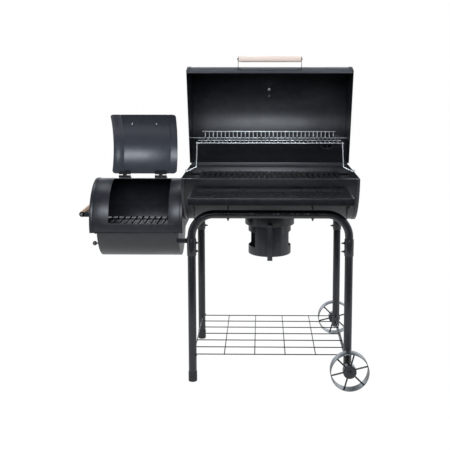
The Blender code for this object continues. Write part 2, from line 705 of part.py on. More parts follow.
ear_block = block(
    "cap_ear", (CHIMNEY_X - 0.007, pipe_top.y + CHIMNEY_RADIUS - 0.0012, cap_z - 0.016),
    (CHIMNEY_X + 0.007, cap_y + 0.006, cap_z - 0.013), holder=lid_pivot,
)
cap_hole = rod(
    "cap_hole", (CHIMNEY_X, cap_y, cap_z - 0.03), (CHIMNEY_X, cap_y, cap_z), 0.0034, 10, holder=lid_pivot
)
cut(join(cut(chimney_pipe, chimney_core), ear_block), lid_volume, cap_hole)
cap_pivot = pivot("chimney_cap_pivot", cap_y, cap_z, CHIMNEY_X, lid_pivot)
chimney_cap = rod(
    "chimney_cap", (CHIMNEY_X, pipe_top.y, cap_z + GAP), (CHIMNEY_X, pipe_top.y, cap_z + GAP + 0.002),
    CHIMNEY_RADIUS + 0.004, 24, painted("chimney_cap"), cap_pivot,
)
cap_tab = block(
    "cap_tab", (CHIMNEY_X - 0.008, pipe_top.y + 0.03, cap_z + GAP + 0.0002),
    (CHIMNEY_X + 0.008, cap_y + 0.007, cap_z + GAP + 0.0018), holder=cap_pivot,
)
cap_peg = rod(
    "cap_peg", (CHIMNEY_X, cap_y, cap_z + 0.001), (CHIMNEY_X, cap_y, cap_z - 0.020), 0.003, 10,
    holder=cap_pivot,
)
join(chimney_cap, cap_tab, cap_peg)

# ---------------------------------------------------------------- warming rack
chrome = finish("rack_chrome", CHROME, 0.12, 1.0)
rack_pivot = pivot("rack_pivot", rack_y, rack_z, holder=lid_pivot)
rack_front_y = rack_y - RACK_DEPTH
rack_bar_z = rack_z + 2 * RACK_ROD - 0.0008
half_bar = 0.0015
profile = [
    (rack_front_y - RACK_ROD, rack_bar_z - half_bar), (rack_y + half_bar, rack_bar_z - half_bar),
    (rack_y + half_bar, rack_z + FENCE_HEIGHT), (rack_y - half_bar, rack_z + FENCE_HEIGHT),
    (rack_y - half_bar, rack_bar_z + half_bar), (rack_front_y - RACK_ROD, rack_bar_z + half_bar),
]
rack_xs = [(step - (RACK_BARS - 1) / 2) * RACK_PITCH for step in range(RACK_BARS)]
warming_rack = prism(
    "warming_rack", profile, [(x - half_bar, x + half_bar) for x in rack_xs], "X", chrome, rack_pivot
)
rod_half = RACK_HALF
rear_half = lid_half + 0.0005
fence_half = 0.300
rack_rods = rods("rack_rods", [
    ((-rod_half, rack_front_y, rack_z), (rod_half, rack_front_y, rack_z)),
    ((-rod_half, rack_front_y + 0.115, rack_z), (rod_half, rack_front_y + 0.115, rack_z)),
    ((-rear_half, rack_y, rack_z), (rear_half, rack_y, rack_z)),
    ((-fence_half, rack_y, rack_z + FENCE_HEIGHT), (fence_half, rack_y, rack_z + FENCE_HEIGHT)),
], RACK_ROD, 6, holder=rack_pivot)
join(warming_rack, rack_rods)

legs_pivot = pivot("rack_legs_pivot", rack_leg_y, rack_leg_z)
EYE_RADIUS = 0.0058
EYE_WIDTH = 0.004
for side, x in both(RACK_LEG_X):
    outward = math.copysign(1, x)
    foot_x = outward * (half_x + 0.0006)
    knee_x = outward * (half_x - SHEET - 0.006)
    link_start = Vector((x, rack_leg_y, rack_leg_z))
    link_end = Vector((x, rack_front_y, rack_z))
    link = (link_end - link_start).normalized()
    leg = wire("rack_leg_" + side, [
        (foot_x, rack_leg_y, rack_leg_z), (knee_x, rack_leg_y, rack_leg_z),
        link_start + link * 0.020, link_end - link * (EYE_RADIUS - 0.0016),
    ], RACK_ROD, chrome.copy(), legs_pivot)
    eye = rod(
        "rack_eye_" + side, (x - EYE_WIDTH / 2, rack_front_y, rack_z), (x + EYE_WIDTH / 2, rack_front_y, rack_z),
        EYE_RADIUS, 14, holder=legs_pivot,
    )
    eye_bore = rod(
        "rack_eye_bore_" + side, (x - EYE_WIDTH, rack_front_y, rack_z), (x + EYE_WIDTH, rack_front_y, rack_z),
        RACK_ROD + 0.0010, 12, holder=legs_pivot,
    )
    cut(join(leg, eye), eye_bore)

# ---------------------------------------------------------------- firebox
fire_right = -(half_x + 0.0006)
fire_left = fire_right - FIREBOX_LENGTH
fire_start = math.asin((FIREBOX_PARTING_Z - FIREBOX_AXIS_Z) / FIREBOX_RADIUS)
fire_look = painted("firebox")
fire_shell = prism(
    "firebox_shell", arc_sheet(FIREBOX_AXIS_Z, FIREBOX_RADIUS, fire_start, math.pi - fire_start),
    [(fire_left + SHEET + GAP, fire_right - SHEET - GAP)], "X", fire_look,
)
doorway = block(
    "doorway", (-DOOR_LEFT, -2 * FIREBOX_RADIUS, DOOR_SILL_Z),
    (-DOOR_RIGHT, -0.004, FIREBOX_AXIS_Z + 2 * FIREBOX_RADIUS),
)
cut(fire_shell, doorway)
fire_outline = arc(0, FIREBOX_AXIS_Z, FIREBOX_RADIUS, fire_start, math.pi - fire_start)
fire_end_look = painted("firebox_end")
for side, span in (("left", (fire_left, fire_left + SHEET)), ("right", (fire_right - SHEET, fire_right))):
    plate = prism("firebox_end_" + side, fire_outline, [span], "X", fire_end_look)
    if side == "right":
        cut(plate, block("fire_smoke_way", (span[0] - 0.01, *smoke_low), (span[1] + 0.01, *smoke_high)))

pan_look = painted("firebox_pan")
pan_top = FIREBOX_PARTING_Z - GAP
pan_left = -FIREBOX_PAN_RIGHT - FIREBOX_PAN_LENGTH
pan_right = -FIREBOX_PAN_RIGHT
pan_start = math.asin((pan_top - 0.001 - FIREBOX_AXIS_Z) / FIREBOX_PAN_RADIUS)
pan_turns = (math.pi - pan_start, 2 * math.pi + pan_start)
pan = prism(
    "firebox_pan", arc(0, FIREBOX_AXIS_Z, FIREBOX_PAN_RADIUS, *pan_turns), [(pan_left, pan_right)], "X",
    pan_look,
)
pan_hollow = prism(
    "pan_hollow", arc(0, FIREBOX_AXIS_Z, FIREBOX_PAN_RADIUS - SHEET, *pan_turns)
    + [(FIREBOX_PAN_RADIUS * 0.968, 0.62), (-FIREBOX_PAN_RADIUS * 0.968, 0.62)],
    [(pan_left + SHEET, pan_right - SHEET)], "X",
)
flange_y = FIREBOX_RADIUS * math.cos(fire_start) + 0.001
flange = block("pan_flange", (fire_left, -flange_y, pan_top - SHEET), (fire_right, flange_y, pan_top))
vent_x = pan_left
vent_turns = [2 * math.pi * step / 3 + math.pi / 2 for step in range(3)]


def vent_holes(name, x, holder=None):
    ends = []
    for turn in vent_turns:
        y, z = VENT_RING * math.cos(turn), VENT_Z + VENT_RING * math.sin(turn)
        ends.append(((x - 0.006, y, z), (x + 0.006, y, z)))
    return rods(name, ends, VENT_HOLE, 12, holder=holder)


cut(join(pan, flange), pan_hollow, vent_holes("pan_vents", vent_x))

fire_grate = bars(
    "firebox_grate", "Y",
    [FIREBOX_GRATE_PITCH * step - FIREBOX_GRATE_LEFT for step in range(FIREBOX_GRATE_BARS)], GRATE_WIRE,
    (-FIREBOX_GRATE_HALF_Y, FIREBOX_GRATE_HALF_Y),
    pan_top + GAP, pan_top + 0.006, finish("fire_grate_iron", (0.03, 0.03, 0.03), 0.6, 0.5),
)
fire_ties_right = (FIREBOX_GRATE_BARS - 1) * FIREBOX_GRATE_PITCH - FIREBOX_GRATE_LEFT + 0.0035
fire_ties = bars(
    "fire_ties", "X", (-GRATE_TIE_Y, GRATE_TIE_Y), GRATE_WIRE,
    (-FIREBOX_GRATE_LEFT - 0.003, fire_ties_right), pan_top + 0.001, pan_top + 0.005,
)
join(fire_grate, fire_ties)

vent_pivot = pivot("vent_pivot", 0, VENT_Z, vent_x)
disc_x = vent_x - GAP
vent_disc = rod(
    "vent_disc", (disc_x - 0.0012, 0, VENT_Z), (disc_x, 0, VENT_Z), VENT_RADIUS, 28,
    painted("vent_disc"), vent_pivot,
)
cut(vent_disc, vent_holes("disc_vents", vent_x, vent_pivot))
knob_z = VENT_Z - KNOB_DROP
knob_x = vent_x - KNOB_REACH
knob_shape = bmesh.new()
bmesh.ops.create_uvsphere(
    knob_shape, u_segments=10, v_segments=6, radius=KNOB_RADIUS, matrix=Matrix.Translation((knob_x, 0, knob_z))
)
knob = placed("vent_knob", mesh_of("vent_knob", knob_shape), None, vent_pivot)
knob_stem = rod("knob_stem", (knob_x, 0, knob_z), (disc_x - 0.0006, 0, knob_z), 0.003, 10, holder=vent_pivot)
join(vent_disc, knob, knob_stem)

fire_hinge_y = 0.004
lid_out_radius = FIREBOX_RADIUS + 0.001 + SHEET
fire_hinge_z = FIREBOX_AXIS_Z + lid_out_radius + HINGE_OFFSET + KNUCKLE_RADIUS
fire_lid_pivot = pivot("firebox_lid_pivot", fire_hinge_y, fire_hinge_z)
fire_lid_turns = (math.pi - FIRE_LID_LOWEST, math.pi - FIRE_LID_HIGHEST)
fire_lid = prism(
    "firebox_lid", arc_sheet(FIREBOX_AXIS_Z, lid_out_radius, *fire_lid_turns, steps=18),
    [(-FIRE_LID_LEFT, -FIRE_LID_RIGHT)], "X", painted("firebox_lid"), fire_lid_pivot,
)
lid_top = FIREBOX_AXIS_Z + lid_out_radius
third = LEAF_WIDTH / 3
fire_leaf = prism(
    "fire_leaf",
    [(-LEAF_HEIGHT, lid_top - 0.0035), (-0.007, lid_top - 0.0008), (fire_hinge_y - 0.001, fire_hinge_z - 0.002),
     (fire_hinge_y - 0.001, fire_hinge_z), (-LEAF_HEIGHT, lid_top + 0.001)],
    [(x - third / 2 + GAP, x + third / 2 - GAP) for x in FIRE_HINGE_X], "X", holder=fire_lid_pivot,
)
fire_knuckles = knuckles(
    "fire_knuckles", FIRE_HINGE_X, third - 2 * GAP, fire_hinge_y, fire_hinge_z, KNUCKLE_RADIUS, fire_lid_pivot
)
fire_bore = knuckles(
    "fire_bore", FIRE_HINGE_X, 2 * third, fire_hinge_y, fire_hinge_z, PIN_RADIUS + GAP, fire_lid_pivot
)
cut(join(fire_lid, fire_leaf, fire_knuckles), fire_bore)
for side, x in zip(("left", "right"), FIRE_HINGE_X):
    shell_top = FIREBOX_AXIS_Z + FIREBOX_RADIUS
    hinge = prism(
        "firebox_hinge_" + side,
        [(0.008, shell_top + GAP), (0.032, shell_top - 0.0024), (0.032, shell_top - 0.0009),
         (0.010, shell_top + 0.0022), (fire_hinge_y + 0.002, fire_hinge_z), (fire_hinge_y, fire_hinge_z - 0.003)],
        [(x - LEAF_WIDTH / 2, x + LEAF_WIDTH / 2)], "X", hinge_look,
    )
    room = knuckles("fire_hinge_room", (x,), third, fire_hinge_y, fire_hinge_z, KNUCKLE_RADIUS + GAP)
    fixed = knuckles(
        "fire_fixed_knuckles", (x - third, x + third), third, fire_hinge_y, fire_hinge_z, KNUCKLE_RADIUS
    )
    pin = knuckles("fire_pin", (x,), LEAF_WIDTH - 0.002, fire_hinge_y, fire_hinge_z, PIN_RADIUS)
    join(cut(hinge, room), fixed, pin)

fire_grip_turn = math.pi - FIRE_GRIP_ANGLE
fire_out = Vector((0, math.cos(fire_grip_turn), math.sin(fire_grip_turn)))
fire_up = Vector((0, fire_out.z, -fire_out.y))
fire_foot = on_arc(lid_out_radius + 0.0008, fire_grip_turn, FIREBOX_AXIS_Z)
fire_grip = fire_foot + fire_out * (FIRE_GRIP_STANDOFF - 0.0008) + Vector((FIRE_GRIP_X, 0, 0))
grip_reach = Vector((FIRE_GRIP_HALF, 0, 0))
rod("firebox_grip", fire_grip - grip_reach, fire_grip + grip_reach, FIRE_GRIP_RADIUS, 20,
    finish("firebox_grip_wood", WARM_WOOD, 0.5, 0.0), fire_lid_pivot)
strap_outline = strap(fire_foot, fire_out, fire_up, FIRE_GRIP_STANDOFF - 0.0008, 0.010)
arm_inner = FIRE_GRIP_HALF + GAP
fire_bracket = prism(
    "firebox_bracket", strap_outline,
    [(FIRE_GRIP_X - arm_inner - SHEET, FIRE_GRIP_X - arm_inner),
     (FIRE_GRIP_X + arm_inner, FIRE_GRIP_X + arm_inner + SHEET)], "X", bracket_look, fire_lid_pivot,
)
base = [fire_foot + fire_up * 0.0098, fire_foot + fire_up * 0.0098 + fire_out * SHEET,
        fire_foot - fire_up * 0.0098 + fire_out * SHEET, fire_foot - fire_up * 0.0098]
strap_base = prism(
    "strap_base", [(p.y, p.z) for p in base],
    [(FIRE_GRIP_X - arm_inner - 0.001, FIRE_GRIP_X + arm_inner + 0.001)], "X", holder=fire_lid_pivot,
)
join(fire_bracket, strap_base)

side_x = fire_left - GAP
side_grip_x = fire_left - SIDE_GRIP_REACH
rod("side_grip", (side_grip_x, -SIDE_GRIP_HALF, SIDE_GRIP_Z), (side_grip_x, SIDE_GRIP_HALF, SIDE_GRIP_Z),
    SIDE_GRIP_RADIUS, 20, finish("side_grip_wood", WARM_WOOD, 0.5, 0.0))
strap_half = 0.0105
rounded = [
    (side_grip_x - strap_half * math.sin(turn), SIDE_GRIP_Z + strap_half * math.cos(turn))
    for turn in [math.pi * step / 8 for step in range(9)]
]
side_outline = [(side_x, SIDE_GRIP_Z + strap_half)] + rounded + [(side_x, SIDE_GRIP_Z - strap_half)]
arm_y = SIDE_GRIP_HALF + GAP
side_bracket = prism(
    "side_bracket", side_outline, [(-arm_y - SHEET, -arm_y), (arm_y, arm_y + SHEET)], "Y", bracket_look
)
side_base = block(
    "side_base", (side_x - SHEET, -arm_y - 0.001, SIDE_GRIP_Z - strap_half + 0.0002),
    (side_x, arm_y + 0.001, SIDE_GRIP_Z + strap_half - 0.0002),
)
join(side_bracket, side_base)

strut_x = pan_right + GAP
leg_face = -LEG_X - TUBE_RADIUS - GAP - SLEEVE_WALL
strut = prism(
    "firebox_strut",
    [(strut_x, STRUT_NEAR_Y), (strut_x + 0.002, STRUT_NEAR_Y), (strut_x + 0.002, 0.004 - TUBE_Y),
     (leg_face - GAP, 0.004 - TUBE_Y), (leg_face - GAP, 0.002 - TUBE_Y), (strut_x, 0.002 - TUBE_Y)],
    [(STRUT_LOW_Z, STRUT_HIGH_Z)], "Z", painted("strut"),
)

# ---------------------------------------------------------------- ash can
collar = rod(
    "ash_collar", (0, 0, COLLAR_BOTTOM_Z), (0, 0, 0.64), COLLAR_RADIUS, 32, painted("ash_collar")
)
collar_room = rod("collar_room", (0, 0, COLLAR_BOTTOM_Z + SHEET), (0, 0, 0.65), COLLAR_RADIUS - SHEET, 32)
collar_mouth = rod("collar_mouth", (0, 0, 0.57), (0, 0, 0.60), CAN_RADIUS + 0.0012, 32)
chamber_volume = rod(
    "chamber_volume", (-0.2, 0, CHAMBER_AXIS_Z), (0.2, 0, CHAMBER_AXIS_Z), CHAMBER_RADIUS + 3 * GAP,
    2 * CURVE_STEPS,
)
cut(collar, collar_room, collar_mouth, chamber_volume)

can_pivot = pivot("ash_can_pivot", 0, CAN_BOTTOM_Z)
can = rod(
    "ash_can", (0, 0, CAN_BOTTOM_Z), (0, 0, CAN_TOP_Z), CAN_RADIUS, 32,
    finish("can_enamel", (0.06, 0.065, 0.07), 0.35, 0.5), can_pivot,
)
lip_z = COLLAR_BOTTOM_Z + SHEET + GAP
can_lip = rod("can_lip", (0, 0, lip_z), (0, 0, lip_z + 0.002), CAN_RADIUS + CAN_LIP, 32, holder=can_pivot)
can_room = rod(
    "can_room", (0, 0, CAN_BOTTOM_Z + SHEET), (0, 0, CAN_TOP_Z + 0.02), CAN_RADIUS - SHEET, 32,
    holder=can_pivot,
)
window_y = CAN_RADIUS * math.sin(math.radians(45))
can_window = block(
    "can_window", (-2 * CAN_RADIUS, -window_y, CAN_WINDOW_LOW_Z),
    (2 * CAN_RADIUS, window_y, CAN_WINDOW_HIGH_Z), holder=can_pivot,
)
wall = -CAN_RADIUS + 0.0006
face = -CAN_GRIP_Y
can_grip = prism(
    "can_grip",
    [(face, 0.455), (face + SHEET, 0.455), (face + SHEET, 0.474), (wall, 0.474), (wall, 0.4755),
     (face + SHEET, 0.4755), (face + SHEET, 0.5775), (wall, 0.5775), (wall, 0.579),
     (face + SHEET, 0.579), (face + SHEET, 0.603), (face, 0.603)],
    [(-CAN_GRIP_HALF, CAN_GRIP_HALF)], "X", holder=can_pivot,
)
cut(join(can, can_lip), can_room, can_window)
join(can, can_grip)

# ---------------------------------------------------------------- front shelf
tray_low = TRAY_TOP_Z - TRAY_HEIGHT
shelf = block(
    "front_shelf", (-TRAY_HALF_X, TRAY_FRONT, tray_low), (TRAY_HALF_X, TRAY_REAR, TRAY_TOP_Z),
    painted("front_shelf"),
)
plate_z = TRAY_TOP_Z - TRAY_RECESS
recess_shape = bmesh.new()
top_ring, low_ring = [], []
for sx, y in ((-1, TRAY_FRONT), (1, TRAY_FRONT), (1, TRAY_REAR), (-1, TRAY_REAR)):
    inward = 1 if y == TRAY_FRONT else -1
    wide_x = sx * (TRAY_HALF_X - 0.004)
    low_ring.append((sx * (TRAY_HALF_X - TRAY_BORDER), y + inward * TRAY_BORDER, plate_z))
    top_ring.append((wide_x, y + inward * 0.004, TRAY_TOP_Z + 0.0005))
low_verts = [recess_shape.verts.new(place) for place in low_ring]
top_verts = [recess_shape.verts.new(place) for place in top_ring]
recess_shape.faces.new(low_verts)
recess_shape.faces.new(top_verts)
for step in range(4):
    after = (step + 1) % 4
    recess_shape.faces.new((low_verts[step], low_verts[after], top_verts[after], top_verts[step]))
recess = placed("tray_recess", mesh_of("tray_recess", recess_shape), None, None)
under = block(
    "tray_under", (-TRAY_HALF_X + SHEET, TRAY_FRONT + SHEET, tray_low - 0.01),
    (TRAY_HALF_X - SHEET, TRAY_REAR - SHEET, plate_z - SHEET),
)
cut(shelf, recess, under)
arm_z = TUBE_Z - TUBE_RADIUS - 0.0008
arm_outline = [
    (-TUBE_Y - 0.017, arm_z), (0.017 - TUBE_Y, arm_z), (TRAY_REAR - SHEET - 0.001, 0.740),
    (TRAY_REAR - SHEET - 0.001, plate_z - SHEET / 2), (TRAY_FRONT + 0.030, plate_z - SHEET / 2),
    (TRAY_FRONT + 0.030, tray_low), (-0.300, 0.700),
]
arms = prism(
    "shelf_arms", arm_outline,
    [(x - 0.001, x + 0.001) for x in (-TRAY_ARM_X, TRAY_ARM_X)], "X",
)
join(shelf, arms)

# ---------------------------------------------------------------- rest pose and origin
lid_pivot.rotation_euler.x = -LID_OPENING
rack_pivot.rotation_euler.x = LID_OPENING
legs_pivot.rotation_euler.x = -LID_OPENING
fire_lid_pivot.rotation_euler.x = -FIRE_LID_OPENING

for piece in list(smoker.objects):
    if piece is not root and piece.parent is None:
        piece.parent = root
bpy.context.view_layer.update()
graph = bpy.context.evaluated_depsgraph_get()
places = []
for piece in smoker.objects:
    if piece.type == "MESH":
        shown = piece.evaluated_get(graph)
        places += [shown.matrix_world @ vertex.co for vertex in shown.data.vertices]
low = [min(place[axis] for place in places) for axis in range(3)]
high = [max(place[axis] for place in places) for axis in range(3)]
root.location = (-(low[0] + high[0]) / 2, -(low[1] + high[1]) / 2, -low[2])
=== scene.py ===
import json
import math

import bmesh
import bpy
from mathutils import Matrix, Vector

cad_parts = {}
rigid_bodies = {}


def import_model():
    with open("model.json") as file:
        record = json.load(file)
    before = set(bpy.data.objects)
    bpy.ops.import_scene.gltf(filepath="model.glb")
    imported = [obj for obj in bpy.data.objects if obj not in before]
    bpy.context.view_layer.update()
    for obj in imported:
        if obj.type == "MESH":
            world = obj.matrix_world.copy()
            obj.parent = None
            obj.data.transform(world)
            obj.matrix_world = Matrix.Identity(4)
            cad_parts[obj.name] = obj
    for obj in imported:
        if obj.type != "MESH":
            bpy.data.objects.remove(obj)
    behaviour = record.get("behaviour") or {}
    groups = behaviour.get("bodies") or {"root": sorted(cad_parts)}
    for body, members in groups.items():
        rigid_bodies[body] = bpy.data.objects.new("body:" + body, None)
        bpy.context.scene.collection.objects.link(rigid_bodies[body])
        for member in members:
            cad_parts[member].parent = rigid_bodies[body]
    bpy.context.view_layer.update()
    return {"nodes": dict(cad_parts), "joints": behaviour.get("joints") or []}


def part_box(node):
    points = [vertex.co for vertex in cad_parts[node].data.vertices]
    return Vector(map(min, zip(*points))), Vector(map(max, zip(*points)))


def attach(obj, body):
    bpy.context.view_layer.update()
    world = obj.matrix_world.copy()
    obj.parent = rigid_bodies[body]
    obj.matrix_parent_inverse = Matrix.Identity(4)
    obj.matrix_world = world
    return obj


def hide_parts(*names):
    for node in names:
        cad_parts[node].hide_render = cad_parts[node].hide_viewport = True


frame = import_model()
joints = {joint["name"]: joint for joint in frame["joints"]}
BODY = "smoker_frame"

# ---------------------------------------------------------------- driving places, from the frame
shell_low, shell_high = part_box("chamber_shell")
MID_X = (shell_low.x + shell_high.x) / 2
MID_Y = (shell_low.y + shell_high.y) / 2
RIM_Z = shell_high.z
BARREL_RADIUS = 0.216
BARREL_Z = shell_low.z + BARREL_RADIUS
BARREL_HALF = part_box("chamber_end_right")[1].x - MID_X
LID_HALF = 0.353
SHEET = 0.0015
LID_HINGE = Vector(joints["lid_hinge"]["pos_m"])
LID_OPEN = math.radians(joints["lid_hinge"]["range_deg"][1])
FIRE_HINGE = Vector(joints["firebox_lid_hinge"]["pos_m"])
FIRE_OPEN = math.radians(joints["firebox_lid_hinge"]["range_deg"][1])
FIRE_RADIUS = 0.165
FIRE_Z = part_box("firebox_shell")[1].z - FIRE_RADIUS
PAN_RADIUS = 0.158
WHEEL_RADIUS = (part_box("wheel_front")[1].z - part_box("wheel_front")[0].z) / 2


# ---------------------------------------------------------------- finishes
def shader_group(name, inputs, outputs):
    """An empty node group with these sockets, and its input and output nodes."""
    group = bpy.data.node_groups.new(name, "ShaderNodeTree")
    for label, kind, value in inputs:
        socket = group.interface.new_socket(label, in_out="INPUT", socket_type=kind)
        if value is not None:
            socket.default_value = value
    for label, kind in outputs:
        group.interface.new_socket(label, in_out="OUTPUT", socket_type=kind)
    entry = group.nodes.new("NodeGroupInput")
    leave = group.nodes.new("NodeGroupOutput")
    return group, entry, leave


def noise(tree, vector, scale, detail=3.0, roughness=0.5):
    node = tree.nodes.new("ShaderNodeTexNoise")
    node.inputs["Scale"].default_value = scale
    node.inputs["Detail"].default_value = detail
    node.inputs["Roughness"].default_value = roughness
    tree.links.new(vector, node.inputs["Vector"])
    return node.outputs["Fac"]


def spread(tree, value, low, high, start=0.3, end=0.7):
    """Maps a noise value onto low to high."""
    node = tree.nodes.new("ShaderNodeMapRange")
    node.inputs["From Min"].default_value = start
    node.inputs["From Max"].default_value = end
    for label, bound in (("To Min", low), ("To Max", high)):
        if isinstance(bound, float):
            node.inputs[label].default_value = bound
        else:
            tree.links.new(bound, node.inputs[label])
    tree.links.new(value, node.inputs["Value"])
    return node.outputs["Result"]


def arithmetic(tree, kind, first, second):
    node = tree.nodes.new("ShaderNodeMath")
    node.operation = kind
    for socket, value in zip(node.inputs, (first, second)):
        if isinstance(value, float):
            socket.default_value = value
        else:
            tree.links.new(value, socket)
    return node.outputs[0]


def blend_colours(tree, share, first, second, kind="MIX"):
    node = tree.nodes.new("ShaderNodeMix")
    node.data_type = "RGBA"
    node.blend_type = kind
    for label, value in (("Factor", share), ("A", first), ("B", second)):
        socket = next(s for s in node.inputs if s.name == label
                      and s.type == ("VALUE" if label == "Factor" else "RGBA"))
        if isinstance(value, (float, tuple)):
            socket.default_value = value
        else:
            tree.links.new(value, socket)
    return next(s for s in node.outputs if s.type == "RGBA")


def make_coat_group():
    """Sprayed satin paint: slow tone changes, dust in the hollows of the grain and a fine orange peel."""
    group, entry, leave = shader_group(
        "satin_coat",
        [("Colour", "NodeSocketColor", (0.03, 0.03, 0.03, 1)),
         ("Dust", "NodeSocketColor", (0.1, 0.1, 0.1, 1)),
         ("Dust Share", "NodeSocketFloat", 0.1), ("Roughness Low", "NodeSocketFloat", 0.3),
         ("Roughness High", "NodeSocketFloat", 0.45), ("Peel", "NodeSocketFloat", 0.5)],
        [("Colour", "NodeSocketColor"), ("Roughness", "NodeSocketFloat"), ("Height", "NodeSocketFloat")],
    )
    place = group.nodes.new("ShaderNodeTexCoord").outputs["Object"]
    broad = noise(group, place, 5.0, 4.0)
    patch = noise(group, place, 38.0, 5.0, 0.6)
    fine = noise(group, place, 650.0, 2.0)
    speck = noise(group, place, 1400.0, 1.0)
    dusty = arithmetic(group, "MULTIPLY", spread(group, patch, 0.0, 1.0, 0.45, 0.75),
                       entry.outputs["Dust Share"])
    toned = blend_colours(group, dusty, entry.outputs["Colour"], entry.outputs["Dust"])
    group.links.new(toned, leave.inputs["Colour"])
    mixed = arithmetic(group, "ADD", arithmetic(group, "MULTIPLY", broad, 0.55),
                       arithmetic(group, "MULTIPLY", patch, 0.45))
    rough = spread(group, mixed, entry.outputs["Roughness Low"], entry.outputs["Roughness High"], 0.35, 0.65)
    group.links.new(rough, leave.inputs["Roughness"])
    grain = arithmetic(group, "ADD", fine, arithmetic(group, "MULTIPLY", speck, 0.5))
    group.links.new(arithmetic(group, "MULTIPLY", grain, entry.outputs["Peel"]), leave.inputs["Height"])
    return group


def make_wood_group():
    """Plain turned wood: long streaks, pores and a few darker growth lines along the bar."""
    group, entry, leave = shader_group(
        "wood_grain",
        [("Light", "NodeSocketColor", (0.8, 0.6, 0.5, 1)), ("Dark", "NodeSocketColor", (0.6, 0.4, 0.3, 1)),
         ("Stretch", "NodeSocketVector", (1.0, 1.0, 1.0))],
        [("Colour", "NodeSocketColor"), ("Roughness", "NodeSocketFloat"), ("Height", "NodeSocketFloat")],
    )
    place = group.nodes.new("ShaderNodeTexCoord").outputs["Object"]
    scaled = group.nodes.new("ShaderNodeVectorMath")
    scaled.operation = "MULTIPLY"
    group.links.new(place, scaled.inputs[0])
    group.links.new(entry.outputs["Stretch"], scaled.inputs[1])
    along = scaled.outputs["Vector"]
    streak = noise(group, along, 26.0, 6.0, 0.62)
    lines = group.nodes.new("ShaderNodeTexWave")
    lines.wave_type = "RINGS"
    lines.inputs["Scale"].default_value = 9.0
    lines.inputs["Distortion"].default_value = 5.0
    lines.inputs["Detail"].default_value = 3.0
    group.links.new(along, lines.inputs["Vector"])
    pores = noise(group, along, 160.0, 2.0)
    share = arithmetic(group, "ADD", arithmetic(group, "MULTIPLY", lines.outputs["Fac"], 0.35),
                       spread(group, streak, 0.0, 0.65))
    group.links.new(blend_colours(group, share, entry.outputs["Light"], entry.outputs["Dark"]),
                    leave.inputs["Colour"])
    group.links.new(spread(group, pores, 0.42, 0.6), leave.inputs["Roughness"])
    group.links.new(arithmetic(group, "ADD", pores, streak), leave.inputs["Height"])
    return group


def make_metal_group():
    """Drawn or plated steel: faint cloudy stains and hairlines that change the gloss."""
    group, entry, leave = shader_group(
        "bare_metal",
        [("Colour", "NodeSocketColor", (0.6, 0.6, 0.6, 1)), ("Stain", "NodeSocketColor", (0.4, 0.4, 0.4, 1)),
         ("Stain Share", "NodeSocketFloat", 0.2), ("Roughness Low", "NodeSocketFloat", 0.1),
         ("Roughness High", "NodeSocketFloat", 0.25)],
        [("Colour", "NodeSocketColor"), ("Roughness", "NodeSocketFloat"), ("Height", "NodeSocketFloat")],
    )
    place = group.nodes.new("ShaderNodeTexCoord").outputs["Object"]
    cloud = noise(group, place, 30.0, 5.0, 0.6)
    hair = noise(group, place, 420.0, 3.0)
    share = arithmetic(group, "MULTIPLY", spread(group, cloud, 0.0, 1.0, 0.4, 0.7),
                       entry.outputs["Stain Share"])
    group.links.new(blend_colours(group, share, entry.outputs["Colour"], entry.outputs["Stain"]),
                    leave.inputs["Colour"])
    both = arithmetic(group, "ADD", arithmetic(group, "MULTIPLY", cloud, 0.6),
                      arithmetic(group, "MULTIPLY", hair, 0.4))
    rough = spread(group, both, entry.outputs["Roughness Low"], entry.outputs["Roughness High"], 0.35, 0.65)
    group.links.new(rough, leave.inputs["Roughness"])
    group.links.new(hair, leave.inputs["Height"])
    return group


COAT = make_coat_group()
WOOD = make_wood_group()
METAL = make_metal_group()


def finish_with(name, group, values, bump, metallic=0.0, coat=0.0, coat_roughness=0.2, specular=0.5):
    """A material whose colour, gloss and grain come from one of the groups."""
    made = bpy.data.materials.new(name)
    made.use_nodes = True
    tree = made.node_tree
    shader = tree.nodes["Principled BSDF"]
    surface = tree.nodes.new("ShaderNodeGroup")
    surface.node_tree = group
    for label, value in values.items():
        surface.inputs[label].default_value = value
    tree.links.new(surface.outputs["Colour"], shader.inputs["Base Color"])
    tree.links.new(surface.outputs["Roughness"], shader.inputs["Roughness"])
    relief = tree.nodes.new("ShaderNodeBump")
    relief.inputs["Strength"].default_value = 0.25
    relief.inputs["Distance"].default_value = bump
    tree.links.new(surface.outputs["Height"], relief.inputs["Height"])
    tree.links.new(relief.outputs["Normal"], shader.inputs["Normal"])
    shader.inputs["Metallic"].default_value = metallic
    shader.inputs["Coat Weight"].default_value = coat
    shader.inputs["Coat Roughness"].default_value = coat_roughness
    shader.inputs["Specular IOR Level"].default_value = specular
    return made


def satin_paint(name, colour, low=0.34, high=0.46, dust=0.10, bump=0.00008, coat=0.0, specular=0.5):
    values = {
        "Colour": (*colour, 1), "Dust": (0.10, 0.105, 0.11, 1), "Dust Share": dust,
        "Roughness Low": low, "Roughness High": high, "Peel": 0.6,
    }
    return finish_with(name, COAT, values, bump, 0.0, coat, 0.25, specular)


def wood_finish(name, light, dark, stretch):
    return finish_with(name, WOOD, {"Light": (*light, 1), "Dark": (*dark, 1), "Stretch": stretch}, 0.0002)


def metal_finish(name, colour, stain, low, high, share=0.25):
    values = {
        "Colour": (*colour, 1), "Stain": (*stain, 1), "Stain Share": share,
        "Roughness Low": low, "Roughness High": high,
    }
    return finish_with(name, METAL, values, 0.00004, 1.0)


